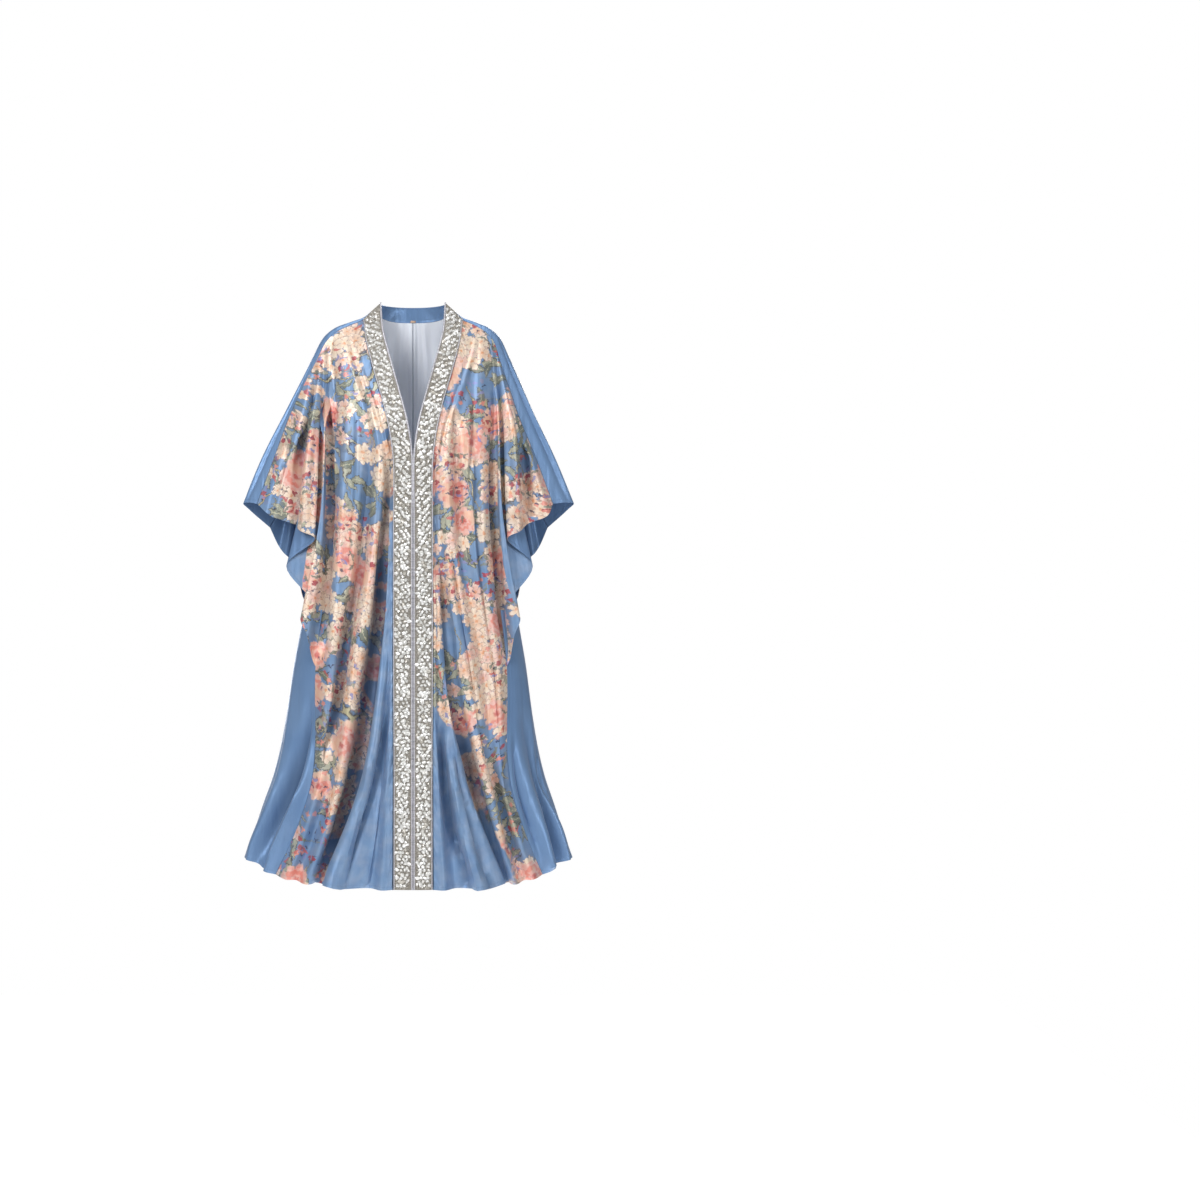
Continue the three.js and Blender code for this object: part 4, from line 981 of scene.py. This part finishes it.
# Side gores
# Plain blue satin between front and back below the underarm joint, flared to the hem.
# They are sewn to both seams and stand in deep flutes at the hem.
GORE_FLUTES = 4
GORE_LIFT = 9
GORE_STEPS = 16
GORE_ROWS_UP = 2
GORE_DEPTH = 1.6
GORE_FRONT_Y = -20      # the creases of the front lie before this depth
GORE_BACK_CREASES = [   # height, share of the way from front to back seam, how far out, half width
    [(-1000, 0.66, 0, 0.03), (-1150, 0.67, -9, 0.04), (-1260, 0.68, -11, 0.05), (-1330, 0.68, -6, 0.05)],
    [(-1020, 0.75, 0, 0.03), (-1180, 0.76, 6, 0.04), (-1330, 0.77, 11, 0.05)],
    [(-960, 0.84, 0, 0.03), (-1120, 0.85, -8, 0.04), (-1240, 0.86, -10, 0.04), (-1330, 0.86, -5, 0.04)],
    [(-1060, 0.93, 0, 0.02), (-1200, 0.93, 5, 0.03), (-1330, 0.92, 9, 0.03)],
]
GORE_CREASES = {  # height, how far to the side, how far the cloth stands out, half width
    1: [
        # trough beside the seam
        [(-1000, 243, 0, 6), (-1096, 250, -5, 8), (-1176, 268, -7, 9), (-1236, 288, -7, 9),
         (-1290, 305, -4, 8), (-1330, 316, -1, 8)],
        # inner flute
        [(-1040, 258, 0, 10), (-1130, 280, 5, 11), (-1200, 298, 8, 12), (-1276, 315, 12, 13),
         (-1330, 328, 13, 13)],
        # notch
        [(-960, 268, 0, 10), (-1060, 292, -6, 13), (-1130, 312, -9, 14), (-1190, 330, -11, 13),
         (-1250, 344, -12, 11), (-1330, 354, -10, 9)],
        # outer flute
        [(-1100, 318, 0, 8), (-1216, 348, 5, 9), (-1279, 364, 8, 9), (-1330, 376, 9, 8)],
    ],
    -1: [
        # middle trough
        [(-900, 240, 0, 11), (-995, 258, -8, 15), (-1056, 276, -11, 17), (-1116, 295, -12, 18),
         (-1168, 314, -12, 18), (-1216, 334, -11, 16), (-1260, 350, -9, 14), (-1340, 366, -3, 11)],
        # inner flute
        [(-979, 236, 0, 8), (-1043, 242, 5, 10), (-1108, 254, 8, 11), (-1176, 283, 10, 12),
         (-1256, 315, 13, 13), (-1340, 344, 15, 13)],
        # trough beside the seam
        [(-1110, 240, 0, 6), (-1188, 258, -6, 8), (-1236, 281, -8, 9), (-1288, 302, -7, 9),
         (-1340, 322, -4, 9)],
        # outer flute
        [(-1100, 322, 0, 9), (-1180, 350, 3, 9), (-1240, 372, 6, 10), (-1286, 388, 9, 10),
         (-1330, 396, 10, 10)],
    ],
}


def gore_net(side):
    """Rows of an elliptical arc from front seam to back seam, with a sine of flutes that grows down."""
    row = np.arange(UPPER_ROWS - GORE_ROWS_UP, UPPER_ROWS + LOWER_ROWS + 1)
    z = back_row_z(row)[:, None]
    front = front_net(side)[0][row, SEAM_FOLD][:, None]
    back = back_body_point(np.ones(len(row)), z[:, 0])[:, None]
    half = body("side", z)
    turn_front, turn_back = -np.arccos(body("seam", z) / half), np.arccos(body("back_seam", z) / half)
    w = np.linspace(0, 1, GORE_STEPS + 1)
    fade = np.clip((JOINT_Z - z) / (JOINT_Z - HEM_Z), 0, 1)
    turn = turn_front + w * (turn_back - turn_front)
    depth = np.where(turn < 0, body("front", z), body("back", z))
    out = GORE_LIFT * fade * np.sin(2 * np.pi * GORE_FLUTES * w) * np.sqrt(np.maximum(np.sin(np.pi * w), 0))
    x = half * np.cos(turn)
    arc = stacked(x + out * np.cos(turn), (depth + out) * np.sin(turn), sagged(z, x))
    w = w[None, :, None]
    return arc + (front - arc[:, :1]) * (1 - w) + (back - arc[:, -1:]) * w


for side, word in SIDES:
    points = finer(placed(gore_net(side), side), FINE_ROWS, PANEL_COLUMNS)
    w = np.linspace(0, 1, points.shape[1])[None, :]
    on_gore = GORE_DEPTH * np.clip(w * SEAM_CALM, 0, 1) * np.clip((1 - w) * SEAM_CALM, 0, 1)
    on_gore = on_gore * (points[..., 1] < GORE_FRONT_Y)
    lift = crease_lift(GORE_CREASES[side], np.abs(points[..., 0]), points[..., 2]) * on_gore
    lift = lift + crease_lift(GORE_BACK_CREASES, w, points[..., 2]) * GORE_DEPTH
    points = creased(points, lift)
    piece = cloth_shell(f"side_gore_{word}_cloth", points, [blue, reverse],
                        hem=near(way_to(points, FOOT_EDGE)), trough=painted_trough_shade(lift),
                        seam=near(way_to(points, LEFT_EDGE, RIGHT_EDGE)))
    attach(piece, "root")
    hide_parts(f"side_gore_{word}")

# Shoulder and sleeve strips
# Plain blue satin over the shoulder ridge from the band to the wrist, sewn to front and back.
# They carry the whole garment, so that soft creases run down them from the shoulder.
FINE_STATIONS = 3       # rows of cloth for each quarter of a station over the shoulder
STRIP_CREASES = [       # station, column of the net, how far the cloth stands out, half width
    [(2.2, 2.6, 0, 0.3), (4, 2.7, -3, 0.3), (6, 2.9, -4, 0.35), (8, 3.0, -4, 0.4), (9, 3.1, -1, 0.4)],
    [(2.6, 3.2, 0, 0.3), (5, 3.3, 3, 0.3), (7, 3.4, 4, 0.3), (9, 3.5, 1, 0.3)],
    [(3.0, 2.2, 0, 0.3), (5, 2.2, 3, 0.3), (7.5, 2.3, 4, 0.35), (9, 2.3, 2, 0.4)],
    [(3.4, 1.2, 0, 0.3), (5.5, 1.1, -3, 0.3), (7, 1.1, -4, 0.3), (8.6, 1.0, -3, 0.3), (9, 1.0, -1, 0.3)],
    [(5.0, 1.6, 0, 0.25), (7, 1.6, 3, 0.25), (8.5, 1.6, 3, 0.3), (9, 1.6, 1, 0.3)],
]
STRIP_COLUMNS = 8       # columns of cloth for each of the net's
STRIP_LAST = 4          # number of the net's last column
BEFORE_RIDGE = (0.62, 0.12, -4, 3)    # share of the way, share added sideways, then back and up
BEHIND_RIDGE = (0.3, 0.1, 5, 3)


def strip_net(side, station):
    """Across the strip: front seam, a rounded shoulder, the ridge, the shoulder behind it, back seam."""
    front, back = front_seam_at(side, station), back_seam_at(station)
    ridge = through(STRIP["ridge"], station)
    share, wider, out, up = BEFORE_RIDGE
    before = front + share * (ridge - front) + stacked(wider * (ridge - front)[:, 0], out, up)
    share, wider, out, up = BEHIND_RIDGE
    behind = ridge + share * (back - ridge) + stacked(wider * (ridge - back)[:, 0], out, up)
    return np.stack([front, before, ridge, behind, back], axis=1)


for side, word in SIDES:
    over = np.arange(0, OUTER_START, 0.25 / FINE_STATIONS)
    down = OUTER_START + np.linspace(0, WRIST - OUTER_START, UPPER_ROWS * FINE_ROWS + 1)
    station = np.concatenate([over, down])
    net = placed(strip_net(side, station), side)
    points = finer(net, 1, STRIP_COLUMNS)
    column = np.linspace(0, STRIP_LAST, points.shape[1])[None, :]
    lift = crease_lift(STRIP_CREASES, column, station[:, None]) * np.clip(column, 0, 1)
    lift = lift * np.clip(STRIP_LAST - column, 0, 1)
    points = creased(points, lift)
    piece = cloth_shell(f"shoulder_strip_{word}_cloth", points, [blue, reverse],
                        hem=near(way_to(points, FOOT_EDGE)), trough=painted_trough_shade(lift),
                        seam=near(way_to(points, LEFT_EDGE, RIGHT_EDGE)))
    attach(piece, "root")
    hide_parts(f"shoulder_strip_{word}")

# Collar
# A stand of plain blue satin round the back of the neck, two layers turned at the top.
# Its base is sewn to the back panel, and its ends go behind the bands.
COLLAR_CLOTH = 1.9
COLLAR_SEAM = 6
COLLAR_END_Y = -1.5
turn = np.pi * np.linspace(0, 1, 97)[None, :]
rise = np.linspace(0, 1, 13)[:, None]
half = COLLAR["base_half"] + rise * (COLLAR["top_half"] - COLLAR["base_half"])
depth = COLLAR["base_depth"] - COLLAR_END_Y + rise * (COLLAR["top_depth"] - COLLAR["base_depth"])
base = COLLAR["base_z"] + COLLAR["end_rise"] * np.cos(turn) ** 4
height = base + rise * (COLLAR["top_z"] - base)
collar_points = stacked(half * np.cos(turn), COLLAR_END_Y + depth * np.sin(turn), height)
COLLAR_CREASES = [      # height, angle round the neck, how far the collar stands out, half width
    [(8, 0.50, 0, 0.12), (24, 0.56, -0.6, 0.12), (40, 0.62, 0, 0.12)],
    [(10, 0.95, 0, 0.14), (28, 1.04, 0.7, 0.14), (44, 1.12, 0, 0.14)],
    [(8, 2.22, 0, 0.12), (26, 2.14, -0.6, 0.12), (42, 2.06, 0, 0.12)],
    [(10, 2.68, 0, 0.12), (26, 2.62, 0.6, 0.12), (42, 2.55, 0, 0.12)],
]
collar_points = creased(collar_points, crease_lift(COLLAR_CREASES, turn, collar_points[..., 2]))
edge = np.minimum(rise, 1 - rise) * (COLLAR["top_z"] - COLLAR["base_z"])
collar = cloth_shell("collar_stand_cloth", collar_points, [blue, blue], COLLAR_CLOTH,
                     seam=0.9 * near(edge, COLLAR_SEAM))
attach(collar, "root")
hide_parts("collar_stand")

# Back lining
# Pale lining behind the neck, two halves joined at the centre back.
# It hangs inside the back panel from the collar's seam.
LINING_REACH = 0.62
LINING_INSET = 4.1
LINING_ROWS = 8
LINING_COLUMNS = 6      # columns of cloth for each of the net's
LINING_SHADE = 45       # the cloth below the neck's seam is marked over this height
LINING_CREASES = [      # height, how far to the side, how far the lining stands out, half width
    [(-560, 4, -1.5, 4), (-250, 4, -1.5, 4), (10, 4, -1.5, 4)],
    [(-420, 14, 0, 5), (-200, 13, 2, 4), (20, 12, 1, 4)],
    [(-160, 27, 0, 6), (-60, 24, 1.2, 6), (-10, 20, 1.5, 4), (20, 19, 0, 4)],
    [(-200, 38, 0, 5), (-80, 35, -1.2, 5), (-10, 30, -1.5, 4), (20, 29, 0, 4)],
    [(-240, 52, 0, 8), (-100, 50, 1.3, 7), (-20, 44, 1.5, 5), (10, 42, 0, 5)],
    [(-180, 66, 0, 6), (-70, 64, -1.4, 6), (-10, 60, 0, 5)],
]
lining_cloth = plain_satin("lining", (0.89, 0.92, 0.98), (0.85, 0.89, 0.96))
lining_cloth.node_tree.nodes["Principled BSDF"].inputs["Metallic"].default_value = 0
for side, word in SIDES:
    net = back_net(np.linspace(0, LINING_REACH, 9))[:LINING_ROWS + 1] * np.array([side, 1, 1])
    points = finer(net, FINE_ROWS, LINING_COLUMNS)
    keep = np.ones(points.shape[:2], bool)
    points = points - grid_normals(points, keep) * outward(points, keep) * LINING_INSET
    points = creased(points, crease_lift(LINING_CREASES, np.abs(points[..., 0]), points[..., 2]))
    neck_seam = 0.8 * near(way_to(points, TOP_EDGE), LINING_SHADE)
    piece = cloth_shell(f"back_lining_{word}_cloth", points, [lining_cloth, lining_cloth],
                        seam=np.maximum(near(way_to(points, LEFT_EDGE)), neck_seam))
    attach(piece, "root")
    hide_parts(f"back_lining_{word}")

# Underlap
# A plain blue strip behind the closed front edges, over which they meet.
# It is sewn to one front and hidden by the bands.
PLACKET_TOP_ROW = 6
PLACKET_SHARE = 0.5
PLACKET_BEHIND = 2.3
net = front_net(1)[0][:, :3]
keep = np.ones(net.shape[:2], bool)
net = (net - grid_normals(net, keep) * outward(net, keep) * PLACKET_BEHIND)[PLACKET_TOP_ROW:]
wide = net[:, 0] + PLACKET_SHARE * (net[:, 1] - net[:, 0])
net = np.stack([wide * (-1, 1, 1), net[:, 0] * (-1, 1, 1), net[:, 0], wide], axis=1)
placket = cloth_shell("front_placket_cloth", finer(net, FINE_ROWS, 4), [blue, reverse])
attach(placket, "root")
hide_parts("front_placket")

# Beaded bands
# A woven ground of grey thread on the edge of each front, covered with angular crystals sewn on closely.
# Small beads fill the gaps, and a pale satin piping is sewn along both of its edges.
TRIM_WALL = 2.4
TRIM_OUT = 2.5
BAND_COLUMNS = 2 * FOLD_COLUMNS
FIELD = (5.6, 6.0)               # the stones' middles stay this far from the closing and the outer edge
BAND_WIDTH = 44
STONE_PITCH, STONE_SHIFT = 9.6, 2.0
STONE_RADIUS, STONE_HEIGHT = (3.6, 5.8), (2.2, 3.8)
BEAD_PITCH, BEAD_RADIUS, BEAD_HEIGHT = 3.2, (1.0, 1.7), (1.2, 2.0)
BEAD_SHIFT, BEAD_GAP = 0.6, 0.35
STONE_SIDES = 6
STONE_STRETCH = 1.35
STONE_CHANCE, BEAD_CHANCE = (0.42, 0.58), 0.4    # beads take the darker tones
SEED = 40
INNER_PIPING, OUTER_PIPING = 2.3, 1.4    # radius of each
OVERHANG = 0.9                   # the inner piping's middle stands this far over the closing edge
band_ground, ground_shader, ground_paint, ground_place = cloth_material("band_ground", 0.0)
ground_tone = flat_colour(ground_paint, (0.330, 0.305, 0.265)).over(
    (0.180, 0.162, 0.136), ground_place.noise(420.0, 2.0).step(0.35, 0.7))
satin_surface(ground_shader, ground_place, ground_tone, 0.45, 0.7, 0.0)

crystal = bpy.data.materials.new("crystal")
crystal.use_nodes = True
crystal_shader = crystal.node_tree.nodes["Principled BSDF"]
crystal_paint = Paint(crystal.node_tree)
chance = crystal_paint.mark("chance")
place = crystal_paint.node("ShaderNodeTexCoord", {}, "Object")
streaks = place.node("ShaderNodeTexNoise", {"Vector": place, "Scale": 700.0, "Detail": 2.0})
tone = flat_colour(crystal_paint, (0.42, 0.39, 0.34))
tone = tone.over((0.64, 0.62, 0.575), chance.step(0.10, 0.32))
tone = tone.over((0.74, 0.735, 0.715), chance.step(0.40, 0.44))
tone = tone.over((0.89, 0.89, 0.885), chance.step(0.72, 0.82))
tone = tone.over((0.52, 0.49, 0.44), chance.step(0.92, 0.94))
tone = tone.over((0.56, 0.54, 0.49), streaks.step(0.46, 0.72) * 0.6)
for socket, value in (("Base Color", tone), ("Roughness", streaks * 0.30 + 0.02)):
    crystal.node_tree.links.new(value.socket, crystal_shader.inputs[socket])
crystal_shader.inputs["Metallic"].default_value = 0.15
crystal_shader.inputs["IOR"].default_value = 1.75
crystal_shader.inputs["Coat Weight"].default_value = 1.0
crystal_shader.inputs["Coat Roughness"].default_value = 0.05

piping_satin, piping_shader, piping_paint, piping_place = cloth_material("piping_satin", 0.1)
piping_tone = flat_colour(piping_paint, (0.56, 0.55, 0.585)).over(
    (0.44, 0.43, 0.47), piping_place.times(300, 40).noise(1.0, 2.0).step(0.4, 0.7))
satin_surface(piping_shader, piping_place, piping_tone, 0.22, 0.34, 0.0)


def on_band(grid, down, across):
    """Points of the band's grid at fractions of rows and columns, each between the four round it."""
    i = np.clip(down.astype(int), 0, grid.shape[0] - 2)
    j = np.clip(across.astype(int), 0, grid.shape[1] - 2)
    f, g = (down - i)[..., None], (across - j)[..., None]
    return ((grid[i, j] * (1 - g) + grid[i, j + 1] * g) * (1 - f)
            + (grid[i + 1, j] * (1 - g) + grid[i + 1, j + 1] * g) * f)


def scattered_spots(rng, width, length, pitch, shift):
    """A loose honeycomb over a strip: every second row half a pitch on, and each spot moved a little."""
    rows, columns = int(length / (pitch * 0.87)), int(width / pitch) + 1
    x = (np.arange(columns)[None, :] + 0.5 * (np.arange(rows)[:, None] % 2)) * pitch
    y = np.arange(rows)[:, None] * pitch * 0.87 + 0 * x
    spots = np.stack([x, y], axis=-1).reshape(-1, 2) + rng.uniform(-shift, shift, (rows * columns, 2))
    x, y = spots.T
    return spots[(x > 0) & (x < width) & (y > pitch) & (y < length - pitch / 2)]


def stones(rng, count, radius, height, stretch):
    """Six sided pebbles: a foot, a girdle and a smaller table that slopes. Gives their rings and faces."""
    turn = (np.arange(STONE_SIDES) / STONE_SIDES * 2 * np.pi + rng.uniform(0, 2 * np.pi, (count, 1))
            + rng.normal(0, 0.14, (count, STONE_SIDES)))
    reach = radius[:, None] * rng.uniform(0.82, 1.12, (count, STONE_SIDES))
    long = rng.uniform(1, stretch, (count, 1))
    x, y = reach * np.cos(turn) * long, reach * np.sin(turn) / long ** 0.5
    way = rng.uniform(0, np.pi, (count, 1))
    x, y = x * np.cos(way) - y * np.sin(way), x * np.sin(way) + y * np.cos(way)
    slope = rng.uniform(-0.32, 0.32, (2, count, 1))
    top = height[:, None] + 0.6 * (slope[0] * x + slope[1] * y)
    rings = [stacked(x, y, -0.6), stacked(x, y, 0.42 * height[:, None]), stacked(0.58 * x, 0.58 * y, top)]
    k = np.arange(STONE_SIDES)
    after = np.roll(k, -1)
    ring = np.stack([k, after, after + STONE_SIDES, k + STONE_SIDES], axis=1)
    ring = np.concatenate([ring, ring + STONE_SIDES])
    table = 2 * STONE_SIDES + np.array([[0, 1, 2, 3], [0, 3, 4, 5]])
    foot = np.array([[3, 2, 1, 0], [5, 4, 3, 0]])
    faces = np.concatenate([ring, table, foot])
    return np.concatenate(rings, axis=1), faces[None] + 3 * STONE_SIDES * np.arange(count)[:, None, None]


def cord(name, line, normals, radius, material, sides=10):
    """A round cord along a line, its rings turned from the cloth's normals, closed at both ends."""
    along = np.gradient(line, axis=0)
    along /= np.linalg.norm(along, axis=1, keepdims=True)
    aside = np.cross(normals, along)
    turn = (np.arange(sides) / sides * 2 * np.pi)[None, :, None]
    rings = line[:, None] + radius * (np.cos(turn) * normals[:, None] + np.sin(turn) * aside[:, None])
    length = np.concatenate([[0], np.cumsum(np.linalg.norm(np.diff(line, axis=0), axis=1))])
    uv = stacked(length[:, None], radius * np.abs(turn[..., 0] - np.pi), 0)[..., :2]
    ids = np.arange(rings.shape[0] * sides).reshape(rings.shape[:2])
    after = np.roll(ids, -1, axis=1)
    walls = np.stack([ids[:-1], ids[1:], after[1:], after[:-1]], axis=-1).reshape(-1, 4).tolist()
    caps = [ids[0].tolist(), ids[-1][::-1].tolist()]
    return mesh_object(name, rings.reshape(-1, 3), walls + caps, [material], uv=uv.reshape(-1, 2))


for side, word in SIDES:
    rng = np.random.default_rng(SEED + side)
    points = front_surface(side)[0][:, :BAND_COLUMNS + 1]
    keep = np.ones(points.shape[:2], bool)
    normals = grid_normals(points, keep) * outward(points, keep)
    points = points + normals * TRIM_OUT
    piece = cloth_shell(f"trim_{word}_ground", points, [band_ground, band_ground], TRIM_WALL)
    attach(piece, "root")
    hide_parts(f"trim_{word}")

    face = points + normals * TRIM_WALL / 2
    middle = face[:, BAND_COLUMNS // 2]
    length = np.concatenate([[0], np.cumsum(np.linalg.norm(np.diff(middle, axis=0), axis=1))])
    width = np.linalg.norm(np.diff(face, axis=1), axis=-1).sum(axis=1)
    field = BAND_WIDTH - FIELD[0] - FIELD[1]
    large = scattered_spots(rng, field, length[-1], STONE_PITCH, STONE_SHIFT)
    large_radius = rng.uniform(*STONE_RADIUS, len(large))
    small = scattered_spots(rng, field, length[-1], BEAD_PITCH, BEAD_SHIFT)
    gap = np.array([(np.hypot(*(large - spot).T) - large_radius).min() for spot in small])
    small = small[gap > BEAD_GAP]
    spots = np.concatenate([large, small])
    radius = np.concatenate([large_radius, rng.uniform(*BEAD_RADIUS, len(small))])
    height = [rng.uniform(*STONE_HEIGHT, len(large)), rng.uniform(*BEAD_HEIGHT, len(small))]
    rings, faces = stones(rng, len(spots), radius, np.concatenate(height), STONE_STRETCH)
    down = np.interp(spots[:, 1], length, np.arange(len(length)))
    full = np.interp(down, np.arange(len(width)), width)
    across = (spots[:, 0] / field * (full - FIELD[0] - FIELD[1]) + FIELD[0]) / full * BAND_COLUMNS
    seat, up = on_band(face, down, across), on_band(normals, down, across)
    up /= np.linalg.norm(up, axis=1, keepdims=True)
    aside = on_band(face, down, across + 0.5) - on_band(face, down, across - 0.5)
    aside -= up * (aside * up).sum(axis=1, keepdims=True)
    aside /= np.linalg.norm(aside, axis=1, keepdims=True)
    axes = np.stack([aside, np.cross(up, aside), up], axis=1)
    body_points = seat[:, None] + np.einsum("nkc,ncd->nkd", rings, axes)
    chances = rng.uniform(0, 1, len(spots))
    stone_chances = STONE_CHANCE[0] + STONE_CHANCE[1] * chances
    chances = np.where(np.arange(len(spots)) < len(large), stone_chances, BEAD_CHANCE * chances)
    chances = np.repeat(chances, rings.shape[1])
    piece = mesh_object(f"trim_{word}_crystals", body_points.reshape(-1, 3), faces.reshape(-1, 4),
                        [crystal], attributes={"chance": chances}, smooth=False)
    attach(piece, "root")

    rows = np.arange(len(face), dtype=float)
    for edge, size, share in (("inner", INNER_PIPING, -OVERHANG / width),
                              ("outer", OUTER_PIPING, 1 - OUTER_PIPING / width)):
        line = on_band(face, rows, share * BAND_COLUMNS)
        out = on_band(normals, rows, share * BAND_COLUMNS)
        piece = cord(f"trim_{word}_{edge}_piping", line, out, size, piping_satin)
        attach(piece, "root")

# Hang loop
# A short flat loop of tan cord at the centre back of the neck.
# It is sewn into the seam between collar and back.
LOOP = {"half": 6, "inset": 3.4, "bow": 2, "height": 5, "cloth": 1.6}
u = np.linspace(-1, 1, 25)
depth = COLLAR["base_depth"] - LOOP["inset"] - LOOP["bow"] * (1 - u**2)
loop = stacked(u * LOOP["half"], depth, COLLAR["base_z"])
loop = np.stack([loop + (0, 0, LOOP["height"] * rise) for rise in np.linspace(0, 1, 7)])
loop_cloth = plain_satin("loop_cord", (0.60, 0.42, 0.30), (0.50, 0.34, 0.24))
hang_loop = cloth_shell("hang_loop_cord", loop, [loop_cloth, loop_cloth], LOOP["cloth"],
                        from_point=(0, 100, 12))
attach(hang_loop, "root")
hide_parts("hang_loop")

# Studio
# A plain pale floor well below the hem, a white room, and large soft lamps as for a catalogue picture.
# The room's own light is weaker than the white that the camera sees behind the garment.
FLOOR_Z = -2.2
FLOOR_HALF = 2.2
ROOM_LIGHT = 0.17
LAMP_AIM = (0, 0, -0.68)
LAMPS = {  # where each stands in metres, how large it is, and its power in watts
    "key": ((-2.0, -3.3, 1.4), (1.3, 2.4), 108),
    "fill": ((2.3, -3.4, 0.2), (1.0, 2.6), 44),
    "back": ((0.9, 4.2, 1.4), (1.3, 2.4), 104),
    "back_fill": ((-1.6, 4.0, 0.0), (1.2, 2.4), 44),
    "top": ((0.0, -1.7, 2.7), (2.0, 1.6), 48),
}
floor_mesh = bpy.data.meshes.new("floor")
floor_corners = [(x * FLOOR_HALF, y * FLOOR_HALF, FLOOR_Z) for x, y in ((-1, -1), (1, -1), (1, 1), (-1, 1))]
floor_mesh.from_pydata(floor_corners, [], [(0, 1, 2, 3)])
floor_material = bpy.data.materials.new("floor")
floor_material.use_nodes = True
floor_shader = floor_material.node_tree.nodes["Principled BSDF"]
floor_shader.inputs["Base Color"].default_value = (0.92, 0.92, 0.92, 1)
floor_shader.inputs["Roughness"].default_value = 0.9
floor_shader.inputs["Emission Color"].default_value = (1, 1, 1, 1)
floor_shader.inputs["Emission Strength"].default_value = 0.72
floor_mesh.materials.append(floor_material)
floor = bpy.data.objects.new("floor", floor_mesh)
bpy.context.scene.collection.objects.link(floor)

for name, (place, size, power) in LAMPS.items():
    lamp_data = bpy.data.lights.new(name, "AREA")
    lamp_data.shape = "RECTANGLE"
    lamp_data.size, lamp_data.size_y = size
    lamp_data.energy = power
    lamp = bpy.data.objects.new(name, lamp_data)
    lamp.location = place
    lamp.rotation_euler = (Vector(LAMP_AIM) - lamp.location).to_track_quat("-Z", "Y").to_euler()
    bpy.context.scene.collection.objects.link(lamp)

world = bpy.data.worlds.new("studio")
world.use_nodes = True
room = Paint(world.node_tree)
seen = room.node("ShaderNodeLightPath", {}, "Is Camera Ray")
shades = [room.node("ShaderNodeBackground", {"Color": (1, 1, 1, 1), "Strength": strength})
          for strength in (ROOM_LIGHT, 1.0)]
mixed = room.node("ShaderNodeMixShader", {0: seen, 1: shades[0], 2: shades[1]})
world.node_tree.links.new(mixed.socket, world.node_tree.nodes["World Output"].inputs["Surface"])
bpy.context.scene.world = world
bpy.context.scene.view_settings.view_transform = "Standard"

bpy.context.view_layer.update()
